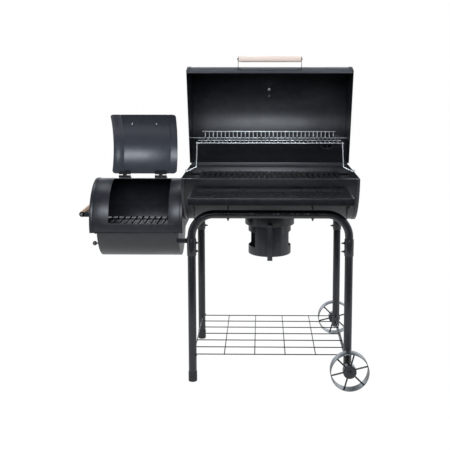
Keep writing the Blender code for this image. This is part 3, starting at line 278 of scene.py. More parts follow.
LOOK = {
    "barrel": satin_paint("barrel_black", (0.0220, 0.0230, 0.0265), 0.30, 0.42),
    "lid": satin_paint("lid_black", (0.0120, 0.0130, 0.0162), 0.34, 0.46),
    # Painted shade: the chamber paint darkened on the barrel wall and grate ledges, standing for the shade
    # inside the barrel.
    "inside": satin_paint("oven_painted_shade_black", (0.0040, 0.0043, 0.0052), 0.34, 0.50, 0.06),
    "firebox": satin_paint("firebox_black", (0.0170, 0.0180, 0.0225), 0.34, 0.46),
    "pan": satin_paint("pan_black", (0.0230, 0.0255, 0.0260), 0.30, 0.42, 0.10),
    "frame": satin_paint("frame_black", (0.0125, 0.0130, 0.0155), 0.24, 0.34, 0.05, coat=0.1),
    "shelf": satin_paint("shelf_black", (0.0070, 0.0074, 0.0088), 0.26, 0.32, 0.05, 0.00001),
    "wire": satin_paint("wire_black", (0.0090, 0.0098, 0.0110), 0.30, 0.42, 0.05),
    "grate": satin_paint("grate_enamel", (0.0095, 0.0100, 0.0110), 0.30, 0.5, 0.14, 0.0002),
    # Partly the iron's own dark tone, partly painted shade: this near-black stands for the shade inside the
    # firebox.
    "charcoal": satin_paint("charcoal_iron", (0.0030, 0.0030, 0.0032), 0.6, 0.75, 0.05, 0.0003,
                            specular=0.15),
    # Painted highlight: the firebox paint lightened on the fire lid, standing for the light on its inner
    # face.
    "fire_lid": satin_paint("fire_lid_painted_highlight_black", (0.044, 0.047, 0.058), 0.28, 0.38),
    # Painted highlight: the black paint lightened on the rim folds, lid lip and shelf hems, standing for
    # their bright edge lines.
    "rim": satin_paint("rim_painted_highlight_black", (0.085, 0.088, 0.098), 0.26, 0.36),
    # Painted shade: the chamber paint darkened on the ash collar, standing for the shadow under the barrel.
    "collar": satin_paint("collar_painted_shade_black", (0.0030, 0.0032, 0.0036), 0.26, 0.36, 0.05),
    "can": satin_paint("can_enamel", (0.0190, 0.0200, 0.0225), 0.26, 0.38, 0.1),
    "plastic": satin_paint("foot_plastic", (0.012, 0.012, 0.013), 0.5, 0.62, 0.08, 0.0002),
    "bolt": satin_paint("bolt_black", (0.012, 0.0125, 0.0135), 0.3, 0.42, 0.12),
    "chrome": metal_finish("rack_chrome", (0.90, 0.91, 0.92), (0.78, 0.78, 0.78), 0.36, 0.46, 0.15),
    "band": metal_finish("wheel_band", (0.17, 0.175, 0.18), (0.11, 0.112, 0.115), 0.32, 0.46),
    "steel": metal_finish("plain_steel", (0.62, 0.63, 0.64), (0.45, 0.45, 0.45), 0.22, 0.38),
    "knob": metal_finish("knob_steel", (0.12, 0.125, 0.13), (0.09, 0.09, 0.095), 0.25, 0.4),
    "lid_wood": wood_finish("lid_grip_wood", (0.98, 0.82, 0.71), (0.88, 0.68, 0.55), (0.12, 1.0, 1.0)),
    "side_wood": wood_finish("side_grip_wood", (0.66, 0.42, 0.26), (0.44, 0.24, 0.13), (1.0, 0.12, 1.0)),
    "fire_wood": wood_finish("fire_grip_wood", (0.66, 0.42, 0.26), (0.44, 0.24, 0.13), (0.12, 1.0, 1.0)),
}


# ---------------------------------------------------------------- workshop
def clear_selection():
    bpy.ops.object.select_all(action="DESELECT")


def choose(piece):
    clear_selection()
    piece.select_set(True)
    bpy.context.view_layer.objects.active = piece


def flatten(piece):
    """Puts the piece's place, turn and scale into its mesh."""
    choose(piece)
    bpy.ops.object.transform_apply(location=True, rotation=True, scale=True)


def started(name):
    """The primitive just added, named, with its place in its mesh."""
    piece = bpy.context.active_object
    piece.name = name
    piece.data.name = name
    flatten(piece)
    return piece


def edit(piece):
    choose(piece)
    bpy.ops.object.mode_set(mode="EDIT")
    bpy.ops.mesh.select_mode(type="VERT")
    bpy.ops.mesh.select_all(action="SELECT")


def done():
    bpy.ops.object.mode_set(mode="OBJECT")


def pick(piece, kind, test):
    """In edit mode, selects only the faces or edges that pass the test."""
    bpy.ops.mesh.select_mode(type=kind)
    bpy.ops.mesh.select_all(action="DESELECT")
    shape = bmesh.from_edit_mesh(piece.data)
    found = 0
    for part in shape.faces if kind == "FACE" else shape.edges:
        if test(part):
            part.select_set(True)
            found += 1
    bmesh.update_edit_mesh(piece.data)
    return found


def modify(piece, kind, **settings):
    """Adds a modifier with these settings and applies it."""
    choose(piece)
    step = piece.modifiers.new(kind.lower(), kind)
    for label, value in settings.items():
        setattr(step, label, value)
    bpy.ops.object.modifier_apply(modifier=step.name)
    return piece


def smooth(piece, angle=35):
    choose(piece)
    bpy.ops.object.shade_smooth_by_angle(angle=math.radians(angle))
    return piece


def cut_by(piece, cutter):
    modify(piece, "BOOLEAN", object=cutter, operation="DIFFERENCE", solver="EXACT")
    bpy.data.objects.remove(cutter)
    return piece


def merge(name, pieces):
    clear_selection()
    for piece in pieces:
        piece.select_set(True)
    bpy.context.view_layer.objects.active = pieces[0]
    if len(pieces) > 1:
        bpy.ops.object.join()
    joined = bpy.context.active_object
    joined.name = name
    joined.data.name = name
    return joined


def swing(piece, hinge, angle):
    """Turns a finished piece about the X line through a hinge, as its joint does, and bakes it."""
    choose(piece)
    bpy.ops.transform.rotate(value=angle, orient_axis="X", center_override=hinge)
    flatten(piece)
    return piece


def fit(piece, look, body, slot, *nodes):
    """Gives a finished piece its material and body and hides the nodes it stands for; the slot is not used.
    """
    piece.data.materials.clear()
    piece.data.materials.append(LOOK[look])
    if nodes:
        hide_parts(*nodes)
    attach(piece, body)
    return piece


def block(name, low, high, round_by=0.0008, segments=2):
    low, high = Vector(low), Vector(high)
    clear_selection()
    bpy.ops.mesh.primitive_cube_add(size=1, location=(low + high) / 2, scale=high - low)
    piece = started(name)
    edit(piece)
    bpy.ops.mesh.bevel(offset=round_by, segments=segments, affect="EDGES")
    done()
    return smooth(piece, 50)


def bar(name, start, end, radius, round_by=0.0006, sides=32, segments=2):
    """A round bar with eased ends."""
    start, end = Vector(start), Vector(end)
    along = end - start
    clear_selection()
    bpy.ops.mesh.primitive_cylinder_add(
        vertices=sides, radius=radius, depth=along.length, location=(start + end) / 2,
        rotation=along.to_track_quat("Z", "Y").to_euler(),
    )
    piece = started(name)
    if round_by:
        edit(piece)
        direction = along.normalized()
        pick(piece, "FACE", lambda face: abs(face.normal.dot(direction)) > 0.9)
        bpy.ops.mesh.bevel(offset=round_by, segments=segments, affect="EDGES")
        done()
    return smooth(piece, 50)


def tube(name, points, radius, sides_level=4, closed=False):
    """A round bar or pipe swept along points, its ends closed."""
    curve = bpy.data.curves.new(name, "CURVE")
    curve.dimensions = "3D"
    curve.bevel_depth = radius
    curve.bevel_resolution = sides_level
    curve.use_fill_caps = not closed
    line = curve.splines.new("POLY")
    line.points.add(len(points) - 1)
    for point, place in zip(line.points, points):
        point.co = (*place, 1)
    line.use_cyclic_u = closed
    drawn = bpy.data.objects.new(name, curve)
    bpy.context.scene.collection.objects.link(drawn)
    choose(drawn)
    bpy.ops.object.convert(target="MESH")
    piece = bpy.context.active_object
    edit(piece)
    bpy.ops.mesh.remove_doubles(threshold=0.00001)
    bpy.ops.mesh.normals_make_consistent(inside=False)
    done()
    return smooth(piece, 50)


def bend(start, corner, end, radius, steps=8):
    """Points round a corner between two straight runs."""
    start, corner, end = Vector(start), Vector(corner), Vector(end)
    into, out = (corner - start).normalized(), (end - corner).normalized()
    turn = into.angle(out)
    back = radius * math.tan(turn / 2)
    first, last = corner - into * back, corner + out * back
    sideways = (out - into * out.dot(into)).normalized()
    centre = first + sideways * radius
    return [
        centre - sideways * radius * math.cos(turn * step / steps) + into * radius
        * math.sin(turn * step / steps)
        for step in range(steps + 1)
    ] if turn > 0.01 else [first, last]


def route(points, radius, steps=8):
    """A line of points whose inner corners are rounded."""
    line = [Vector(points[0])]
    for before, corner, after in zip(points, points[1:], points[2:]):
        line += bend(before, corner, after, radius, steps)
    return line + [Vector(points[-1])]


def bisect_away(piece, point, normal):
    """Cuts a piece along a plane and removes the side its normal points to."""
    edit(piece)
    bpy.ops.mesh.bisect(plane_co=point, plane_no=normal, clear_outer=True, use_fill=False)
    done()
    return piece


def open_drum(name, x_low, x_high, y, z, radius, sides=96):
    """The wall of a drum along X, with no ends."""
    clear_selection()
    bpy.ops.mesh.primitive_cylinder_add(
        vertices=sides, radius=radius, depth=x_high - x_low, end_fill_type="NOTHING",
        location=((x_low + x_high) / 2, y, z), rotation=(0, math.pi / 2, 0),
    )
    return started(name)


def thicken(piece, depth, offset=-1.0):
    return modify(piece, "SOLIDIFY", thickness=depth, offset=offset, use_even_offset=True)


def screw_heads(name, places, direction, radius=0.004, height=0.0026, hexagon=False):
    """Domed or hexagonal heads, one at each place, pointing along a direction."""
    direction = Vector(direction).normalized()
    made = []
    for place in places:
        place = Vector(place)
        head = bar(
            name + "_one", place, place + direction * height, radius, 0, 6 if hexagon else 16
        )
        edit(head)
        top = direction.dot(place) + height * 0.9
        pick(head, "FACE", lambda face: face.normal.dot(direction) > 0.9
             and direction.dot(face.calc_center_median()) > top)
        bpy.ops.mesh.bevel(offset=height * 0.4, segments=3, affect="EDGES")
        pick(head, "FACE", lambda face: face.normal.dot(direction) > 0.95
             and direction.dot(face.calc_center_median()) > top)
        if not hexagon:
            bpy.ops.mesh.inset(thickness=radius * 0.28)
            bpy.ops.mesh.extrude_region_move(TRANSFORM_OT_translate={"value": tuple(-direction * height
                                                                                    * 0.4)})
        done()
        made.append(head)
    return smooth(merge(name, made), 40)


def at(x, y, z):
    """A place measured from the middle of the barrel and from the floor."""
    return Vector((MID_X + x, MID_Y + y, z))


def around(radius, angle, x=0.0, z=BARREL_Z):
    """A place round a drum's axis, the angle from the rear horizontal upwards."""
    return at(x, radius * math.cos(angle), z + radius * math.sin(angle))


def drum_cup(name, face_x, edge_x, z, radius, seam, above, rounding=0.0025):
    """A pressed end: a flat plate with a band folded round the drum, kept above or below a seam."""
    low, high = sorted((face_x, edge_x))
    clear_selection()
    bpy.ops.mesh.primitive_cylinder_add(
        vertices=128, radius=radius, depth=high - low, location=at((low + high) / 2, 0, z),
        rotation=(0, math.pi / 2, 0),
    )
    piece = started(name)
    face_at, edge_at = MID_X + face_x, MID_X + edge_x
    edit(piece)
    pick(piece, "FACE", lambda face: abs(face.normal.x) > 0.9
         and abs(face.calc_center_median().x - edge_at) < 0.0001)
    bpy.ops.mesh.delete(type="FACE")
    pick(piece, "EDGE", lambda edge: all(abs(vert.co.x - face_at) < 0.0001 for vert in edge.verts))
    bpy.ops.mesh.bevel(offset=rounding, segments=4, affect="EDGES")
    done()
    bisect_away(piece, (0, 0, seam), (0, 0, -1 if above else 1))
    return thicken(piece, SHEET)


def drum_wall(name, low_x, high_x, z, radius, seam, above):
    piece = open_drum(name, MID_X + low_x, MID_X + high_x, MID_Y, z, radius, 128)
    bisect_away(piece, (0, 0, seam), (0, 0, -1 if above else 1))
    return thicken(piece, SHEET)


def hole_through(piece, start, end, radius, sides=48):
    return cut_by(piece, bar("hole", start, end, radius, 0, sides))


def box_through(piece, low, high):
    return cut_by(piece, block("hole", low, high, 0.003, 4))


def strap_plate(name, base, out, up, reach, half_width, x, thickness=0.0018):
    """A flat arm standing off a drum with a rounded tip."""
    tip = base + out * reach
    side = Vector((1, 0, 0))
    foot = block_between(name + "_arm", base, tip, up, half_width, side, thickness, x)
    end = bar(name + "_tip", *(Vector((x + s * thickness / 2, tip.y, tip.z)) for s in (-1, 1)), half_width,
              0.0003, 40)
    return merge(name, [foot, end])


def block_between(name, start, end, up, half_width, side, thickness, x):
    """A flat bar from start to end, standing across X; `side` is not used."""
    clear_selection()
    along = end - start
    middle_point = (start + end) / 2
    bpy.ops.mesh.primitive_cube_add(size=1)
    piece = bpy.context.active_object
    piece.name = name
    piece.scale = (thickness, along.length, 2 * half_width)
    piece.rotation_euler.x = math.atan2(along.z, along.y)
    piece.location = (x, middle_point.y, middle_point.z)
    flatten(piece)
    edit(piece)
    bpy.ops.mesh.bevel(offset=0.0003, segments=2, affect="EDGES")
    done()
    return smooth(piece, 50)


# ---------------------------------------------------------------- cooking chamber
BAND_WIDTH = 0.013
WALL_RADIUS = BARREL_RADIUS - SHEET - 0.0003
RACK_FOOT = Vector(joints["rack_leg_swing"]["pos_m"])
SMOKE_LOW, SMOKE_HIGH = (-0.075, 0.672), (0.075, 0.744)
ASH_HOLE_RADIUS = 0.080


def chamber_wall():
    wall = drum_wall("barrel_wall", -BARREL_HALF + 0.002, BARREL_HALF - 0.002, BARREL_Z, WALL_RADIUS, RIM_Z,
                     False)
    hole_through(wall, at(0, 0, 0.55), at(0, 0, 0.66), ASH_HOLE_RADIUS)
    modify(wall, "BEVEL", width=0.0004, segments=2, limit_method="ANGLE", angle_limit=math.radians(60))
    # The wall takes the darkened "inside" black, a painted shade for the inside of the barrel.
    fit(smooth(wall), "inside", BODY, "chamber_paint", "chamber_shell")


def chamber_cup(side, turn):
    face = turn * BARREL_HALF
    cup = drum_cup("barrel_end_" + side, face, face - turn * BAND_WIDTH, BARREL_Z, BARREL_RADIUS, RIM_Z,
                   False)
    if side == "left":
        low = at(face - 0.02, *SMOKE_LOW)
        high = at(face + 0.02, *SMOKE_HIGH)
        box_through(cup, low, high)
    modify(cup, "BEVEL", width=0.0004, segments=2, limit_method="ANGLE", angle_limit=math.radians(60))
    inner, outer = sorted((face, face - turn * SHEET))
    ear = bar(
        "ear", Vector((MID_X + inner, RACK_FOOT.y, RACK_FOOT.z)),
        Vector((MID_X + outer, RACK_FOOT.y, RACK_FOOT.z)),
        0.009, 0.0003, 32,
    )
    piece = merge("barrel_end_" + side, [cup, ear])
    fit(smooth(piece), "barrel", BODY, "chamber_paint", "chamber_end_" + side)


def rim_fold(name, y, turn):
    """The folded edge along the open rim."""
    low = at(-BARREL_HALF + 0.004, min(y, y - turn * 0.006), RIM_Z - 0.0015)
    high = at(BARREL_HALF - 0.004, max(y, y - turn * 0.006), RIM_Z)
    # The fold takes the lighter "rim" black, a painted highlight along the rim's edge.
    fit(block(name, low, high, 0.0006, 3), "rim", BODY, "chamber_paint")


def cooking_chamber():
    chamber_wall()
    for side, turn in (("left", -1), ("right", 1)):
        chamber_cup(side, turn)
    rim_y = math.sqrt(BARREL_RADIUS**2 - (BARREL_Z - RIM_Z) ** 2) - 0.0018
    rim_fold("rim_fold_front", -rim_y, -1)
    rim_fold("rim_fold_rear", rim_y, 1)
    strip = block(
        "draught_strip", at(-BARREL_HALF + 0.004, 0.2102, RIM_Z - 0.012),
        at(BARREL_HALF - 0.004, 0.2114, RIM_Z + 0.010),
        0.0004,
    )
    fit(strip, "barrel", BODY, "chamber_paint")
    places = [around(BARREL_RADIUS, math.radians(angle), x) for angle in (200, 222)
              for x in (-0.3435, 0.3435)]
    for place, angle in zip(places, (200, 200, 222, 222)):
        out = Vector((0, math.cos(math.radians(angle)), math.sin(math.radians(angle))))
        fit(screw_heads("end_screw", [place - out * 0.0022], out, 0.003, 0.002), "bolt", BODY,
            "chamber_paint")


# ---------------------------------------------------------------- grates
def grate(side, turn):
    low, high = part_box("grate_" + side)
    count, width = 13, 0.015
    pitch = (high.x - low.x - width) / (count - 1)
    bars = []
    for step in range(count):
        start = Vector((low.x + step * pitch, low.y, low.z))
        end = Vector((low.x + step * pitch + width, high.y, high.z))
        bars.append(block("grate_bar", start, end, 0.0016, 3))
    for y in (low.y + 0.001, (low.y + high.y - width) / 2, high.y - width - 0.001):
        bars.append(block("grate_tie", (low.x + 0.001, y, low.z + 0.0008),
                          (high.x - 0.001, y + width, high.z - 0.0008), 0.001))
    fit(merge("cooking_grate_" + side, bars), "grate", "grate_" + side, "grate_iron", "grate_" + side)


def rails():
    for end in ("front", "rear"):
        low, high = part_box("grate_rail_" + end)
        # The ledges take the darkened "inside" black, a painted shade for the inside of the barrel.
        fit(block("ledge_" + end, low, high, 0.0007, 3), "inside", BODY, "chamber_paint", "grate_rail_" + end)


def rod_mat(name, low, high, count, ties, look, slot, body, node):
    """Parallel rods with cross ties: a charcoal or fire grate."""
    radius = (high.z - low.z) / 2
    pieces = []
    for step in range(count):
        x = low.x + radius + (high.x - low.x - 2 * radius) * step / (count - 1)
        pieces.append(bar("rod", (x, low.y, high.z - radius), (x, high.y, high.z - radius), radius, 0.0006,
                          14))
    for share in ties:
        y = low.y + (high.y - low.y) * share
        pieces.append(bar("tie", (low.x, y, low.z + radius), (high.x, y, low.z + radius), radius, 0.0006, 14))
    fit(merge(name, pieces), look, body, slot, node)


def fire_bars():
    low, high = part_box("charcoal_grate")
    # Both grates take the near-black "charcoal" finish: the iron's own dark tone, deepened as painted shade
    # for the inside of the firebox.
    rod_mat("charcoal_mat", low, high, 13, (0.16, 0.84), "charcoal", "charcoal_iron", BODY, "charcoal_grate")
    low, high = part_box("firebox_grate")
    rod_mat("fire_mat", low, high, 12, (0.18, 0.82), "charcoal", "charcoal_iron", BODY, "firebox_grate")


# ---------------------------------------------------------------- lid, built closed and then swung open
LID_BODY = "lid"
LID_SEAM = RIM_Z + 0.002


def open_lid(piece):
    return swing(piece, LID_HINGE, LID_OPEN)


def lid_wall():
    wall = drum_wall("lid_wall", -LID_HALF + 0.002, LID_HALF - 0.002, BARREL_Z, WALL_RADIUS, LID_SEAM, True)
    chimney = Vector((0, math.cos(CHIMNEY_TURN), math.sin(CHIMNEY_TURN)))
    axis = at(CHIMNEY_X, 0, BARREL_Z)
    hole_through(wall, axis + chimney * 0.17, axis + chimney * 0.26, PIPE_RADIUS - 0.002)
    modify(wall, "BEVEL", width=0.0004, segments=2, limit_method="ANGLE", angle_limit=math.radians(60))
    fit(open_lid(smooth(wall)), "lid", LID_BODY, "lid_paint", "lid_shell")


def lid_cup(side, turn):
    face = turn * LID_HALF
    cup = drum_cup("lid_end_" + side, face, face - turn * BAND_WIDTH, BARREL_Z, BARREL_RADIUS, LID_SEAM,
                   True, 0.0012)
    modify(cup, "BEVEL", width=0.0004, segments=2, limit_method="ANGLE", angle_limit=math.radians(60))
    fit(open_lid(smooth(cup)), "lid", LID_BODY, "lid_paint", "lid_end_" + side)


def lid_lip():
    """The lid's front edge, folded inwards."""
    edge_y = -math.sqrt(WALL_RADIUS**2 - (BARREL_Z - LID_SEAM) ** 2)
    across = LID_HALF - 0.004
    lip = block("lid_lip", at(-across, edge_y, LID_SEAM), at(across, edge_y + 0.010, LID_SEAM + 0.0018),
                0.0006, 3)
    hem = block("lid_hem", at(-across, edge_y + 0.0086, LID_SEAM + 0.001),
                at(across, edge_y + 0.0104, LID_SEAM + 0.016), 0.0008, 3)
    # The lip takes the lighter "rim" black, a painted highlight along the lid's front edge.
    fit(open_lid(merge("lid_lip", [lip, hem])), "rim", LID_BODY, "lid_paint")


GRIP_TURN = math.pi - math.radians(3.2)
GRIP_STANDOFF = 0.040
GRIP_HALF = 0.1325


def lid_handle():
    out = Vector((0, math.cos(GRIP_TURN), math.sin(GRIP_TURN)))
    up = Vector((0, out.z, -out.y))
    centre = around(BARREL_RADIUS + GRIP_STANDOFF, GRIP_TURN)
    foot = around(BARREL_RADIUS - 0.0012, GRIP_TURN)
    side = Vector((GRIP_HALF, 0, 0))
    grip = bar("lid_handle_wood", centre - side, centre + side, 0.0125, 0.002, 48, 4)
    fit(open_lid(grip), "lid_wood", LID_BODY, "lid_grip_wood", "lid_grip")
    for name, turn in (("left", -1), ("right", 1)):
        x = MID_X + turn * (GRIP_HALF + 0.0012)
        arm = strap_plate("lid_arm_" + name, foot, out, up, GRIP_STANDOFF + 0.0012, 0.011, x)
        inner, outer = sorted((x, x - turn * 0.014))
        pad = block(
            "lid_pad_" + name, (inner, foot.y - 0.0004, foot.z - 0.010),
            (outer, foot.y + 0.0016, foot.z + 0.010), 0.0005
        )
        fit(open_lid(merge("lid_arm_" + name, [arm, pad])), "bolt", LID_BODY, "lid_paint",
            "lid_bracket_" + name)
        screw = screw_heads(
            "lid_arm_screw_" + name, [Vector((x + turn * 0.0009, centre.y, centre.z))], (turn, 0, 0), 0.0045,
            0.0028
        )
        fit(open_lid(screw), "bolt", LID_BODY, "lid_paint")


DIAL_TURN = math.radians(104)
DIAL_RADIUS = 0.030


def dial():
    out = Vector((0, math.cos(DIAL_TURN), math.sin(DIAL_TURN)))
    seat = around(BARREL_RADIUS, DIAL_TURN)
    case = bar("dial_case", seat, seat + out * 0.011, DIAL_RADIUS, 0.0015, 64, 3)
    edit(case)
    pick(case, "FACE", lambda face: face.normal.dot(out) > 0.99 and face.calc_area() > 0.001)
    bpy.ops.mesh.inset(thickness=0.003)
    bpy.ops.mesh.extrude_region_move(TRANSFORM_OT_translate={"value": tuple(out * -0.0016)})
    done()
    stem = bar("dial_stem", seat + out * 0.002, seat - out * 0.059, 0.004, 0.0012, 24, 3)
    nut = bar("dial_nut", seat - out * 0.0026, seat - out * 0.0096, 0.0085, 0.0008, 6)
    washer = bar("dial_washer", seat - out * 0.0016, seat - out * 0.0028, 0.0105, 0.0003, 32)
    fit(open_lid(merge("dial_gauge", [case, stem])), "steel", LID_BODY, "thermometer_steel", "thermometer")
    fit(open_lid(merge("dial_nut", [nut, washer])), "chrome", LID_BODY, "thermometer_steel")


CHIMNEY_TURN = math.radians(35)
CHIMNEY_X = 0.263
PIPE_RADIUS = 0.0375
PIPE_BEND = 0.060
PIPE_TOP = 1.130


def chimney_line():
    out = Vector((0, math.cos(CHIMNEY_TURN), math.sin(CHIMNEY_TURN)))
    axis = at(CHIMNEY_X, 0, BARREL_Z)
    start = axis + out * (BARREL_RADIUS - 0.010)
    turn_in = axis + out * (BARREL_RADIUS + 0.020)
    middle_point = turn_in + Vector((0, -out.z, out.y)) * PIPE_BEND
    line = [start]
    for step in range(13):
        turn = (CHIMNEY_TURN - math.pi / 2) * (1 - step / 12)
        line.append(middle_point + Vector((0, math.cos(turn), math.sin(turn))) * PIPE_BEND)
    line.append(Vector((line[-1].x, line[-1].y, PIPE_TOP)))
    return line


def chimney():
    line = chimney_line()
    out = (line[1] - line[0]).normalized()
    pipe = tube("chimney_wall", line, PIPE_RADIUS, 8)
    core_line = [line[0] - out * 0.01] + line[1:-1] + [line[-1] + Vector((0, 0, 0.01))]
    cut_by(pipe, tube("chimney_core", core_line, PIPE_RADIUS - SHEET, 8))
    barrel = bar("lid_room", at(-0.4, 0, BARREL_Z), at(0.4, 0, BARREL_Z), BARREL_RADIUS - 0.002, 0, 128)
    cut_by(pipe, barrel)
    collar = bar("chimney_collar", around(BARREL_RADIUS - 0.004, CHIMNEY_TURN, CHIMNEY_X),
                 around(BARREL_RADIUS + 0.009, CHIMNEY_TURN, CHIMNEY_X), PIPE_RADIUS + 0.0025, 0.0012, 64)
    hole = bar("hole", around(0.18, CHIMNEY_TURN, CHIMNEY_X), around(0.25, CHIMNEY_TURN, CHIMNEY_X),
               PIPE_RADIUS + 0.0003, 0, 64)
    cut_by(collar, hole)
    top = line[-1]
    lug = block("cap_lug", top + Vector((-0.007, PIPE_RADIUS - 0.001, -0.016)),
                top + Vector((0.007, 0.052, -0.013)), 0.0006)
    fit(open_lid(smooth(merge("chimney_flue", [pipe, collar, lug]))), "barrel", LID_BODY, "chamber_paint",
        "chimney_pipe")
    cap_z = PIPE_TOP + 0.0004
    cap = bar("cap_plate", (top.x, top.y, cap_z), (top.x, top.y, cap_z + 0.002), PIPE_RADIUS + 0.004, 0.0006,
              64)
    tab = block("cap_tab", (top.x - 0.008, top.y + 0.03, cap_z + 0.0001),
                (top.x + 0.008, top.y + 0.053, cap_z + 0.0019), 0.0006)
    peg = bar("cap_peg", (top.x, top.y + 0.046, cap_z + 0.001), (top.x, top.y + 0.046, cap_z - 0.020), 0.003,
              0.0005, 20)
    fit(open_lid(merge("chimney_lid", [cap, tab, peg])), "barrel", "chimney_cap", "chamber_paint",
        "chimney_cap")


def star_plate():
    """The slotted plate inside the lid at the chimney."""
    out = Vector((0, math.cos(CHIMNEY_TURN), math.sin(CHIMNEY_TURN)))
    side = Vector((1, 0, 0))
    round_about = out.cross(side)
    depth = math.sqrt(WALL_RADIUS**2 - 0.044**2) - 0.003
    centre = at(CHIMNEY_X, 0, BARREL_Z) + out * depth
    plate = bar("star_plate", centre - out * 0.0015, centre, 0.042, 0.0004, 64)
    for slot in range(8):
        turn = 2 * math.pi * (slot + 0.5) / 8
        ray = side * math.cos(turn) + round_about * math.sin(turn)
        across = round_about * math.cos(turn) - side * math.sin(turn)
        clear_selection()
        bpy.ops.mesh.primitive_cube_add(size=1)
        wedge = started("hole")
        inner, outer = centre + ray * 0.010, centre + ray * 0.036
        for vert in wedge.data.vertices:
            base, half = (inner, 0.0022) if vert.co.x < 0 else (outer, 0.0092)
            vert.co = base + across * half * (1 if vert.co.y > 0 else -1) + out * 0.01 * (1 if vert.co.z > 0
                                                                                          else -1)
        edit(wedge)
        bpy.ops.mesh.normals_make_consistent(inside=False)
        done()
        cut_by(plate, wedge)
    fit(open_lid(smooth(plate)), "lid", LID_BODY, "lid_paint", "chimney_grille")


LEAF = 0.050
KNUCKLE = 0.004


def hinge_parts(name, x, y, z, fixed):
    """The knuckles of a butt hinge: the two outer ones with the pin, or the one between them."""
    third = LEAF / 3
    if fixed:
        made = [bar(name, (x + s * third - third / 2, y, z), (x + s * third + third / 2, y, z), KNUCKLE,
                    0.0003, 24) for s in (-1, 1)]
        return made + [bar(name, (x - LEAF / 2 + 0.001, y, z), (x + LEAF / 2 - 0.001, y, z), 0.0019, 0.0004,
                           16)]
    return [bar(name, (x - third / 2 + 0.0004, y, z), (x + third / 2 - 0.0004, y, z), KNUCKLE, 0.0003, 24)]


def lid_hinges():
    for side, turn in (("left", -1), ("right", 1)):
        x = MID_X + turn * 0.220
        y, z = LID_HINGE.y, LID_HINGE.z
        sheet_y = MID_Y + BARREL_RADIUS
        leaf = block("leaf", (x - LEAF / 2, sheet_y, z - 0.024), (x + LEAF / 2, sheet_y + 0.0016, z - 0.004),
                     0.0006)
        web = block("web", (x - LEAF / 2, sheet_y + 0.0002, z - 0.0065),
                    (x + LEAF / 2, y + 0.0002, z - 0.0035), 0.0006)
        screws = screw_heads(
            "leaf_screw", [(x + s * 0.015, sheet_y + 0.0015, z - 0.0145) for s in (-1, 1)], (0, 1, 0),
            0.0036, 0.0018
        )
        piece = merge("lid_hinge_fixed_" + side, [leaf, web, screws] + hinge_parts("knuckle", x, y, z, True))
        fit(piece, "bolt", BODY, "hinge_steel", "lid_hinge_" + side)
        leaf = block("leaf", (x - LEAF / 2, sheet_y - 0.0006, z + 0.005),
                     (x + LEAF / 2, sheet_y + 0.0012, z + 0.024), 0.0006)
        web = block("web", (x - 0.0078, sheet_y, z + 0.0030), (x + 0.0078, y, z + 0.0058), 0.0006)
        piece = merge("lid_hinge_moving_" + side, [leaf, web] + hinge_parts("knuckle", x, y, z, False))
        fit(open_lid(piece), "bolt", LID_BODY, "lid_paint")


def lid():
    lid_wall()
    for side, turn in (("left", -1), ("right", 1)):
        lid_cup(side, turn)
    lid_lip()
    lid_handle()
    dial()
    chimney()
    star_plate()
    lid_hinges()


# ---------------------------------------------------------------- warming rack
RACK_REAR = Vector(joints["rack_swing"]["pos_m"])
RACK_DEPTH = 0.229
RACK_ROD = 0.002
RACK_TOP = RACK_ROD * 2 - 0.0008


def warming_rack():
    y, z = RACK_REAR.y, RACK_REAR.z
    front = y - RACK_DEPTH
    pieces = []
    for step in range(33):
        x = MID_X + (step - 16) * 0.018
        line = route([(x, front - RACK_ROD, z + RACK_TOP), (x, y, z + RACK_TOP), (x, y, z + 0.029)], 0.004, 4)
        pieces.append(tube("rack_bar", line, 0.00165, 3))
    for reach, y_place, z_place in (
        (0.312, front, z), (0.312, front + 0.115, z), (LID_HALF + 0.0005, y, z), (0.300, y, z + 0.029),
    ):
        radius = RACK_ROD
        pieces.append(bar("rack_rod", (MID_X - reach, y_place, z_place), (MID_X + reach, y_place, z_place),
                          radius, 0.0005, 20))
    fit(merge("warming_shelf", pieces), "chrome", "warming_rack", "rack_chrome", "warming_rack")


def rack_leg(side, turn):
    x = MID_X + turn * 0.306
    foot = Vector((MID_X + turn * (BARREL_HALF + 0.0005), RACK_FOOT.y, RACK_FOOT.z))
    knee = Vector((MID_X + turn * (BARREL_HALF - 0.0075), RACK_FOOT.y, RACK_FOOT.z))
    top = Vector((x, RACK_REAR.y - RACK_DEPTH, RACK_REAR.z))
    base = Vector((x, RACK_FOOT.y, RACK_FOOT.z))
    along = (top - base).normalized()
    line = route([foot, knee, base + along * 0.020, top - along * 0.0042], 0.004, 5)
    leg = tube("rack_leg", line, RACK_ROD, 4)
    eye_x = 0.0019
    ring = [
        top + Vector((0, math.cos(2 * math.pi * step / 28), math.sin(2 * math.pi * step / 28))) * 0.0043
        for step in range(28)
    ]
    eye = tube("rack_eye", ring, eye_x - 0.0002, 3, closed=True)
    fit(merge("rack_prop_" + side, [leg, eye]), "chrome", "rack_legs", "rack_chrome", "rack_leg_" + side)


# ---------------------------------------------------------------- firebox
FIRE_SEAM = 0.581
FIRE_RIGHT = -(BARREL_HALF + 0.0006)
FIRE_LEFT = FIRE_RIGHT - 0.374
PAN_RIGHT = -0.367
PAN_LEFT = PAN_RIGHT - 0.330
FIRE_LID_RADIUS = FIRE_RADIUS + 0.0025
FIRE_LID_LEFT, FIRE_LID_RIGHT = -0.660, -0.389
FIRE_BODY = "firebox_lid"


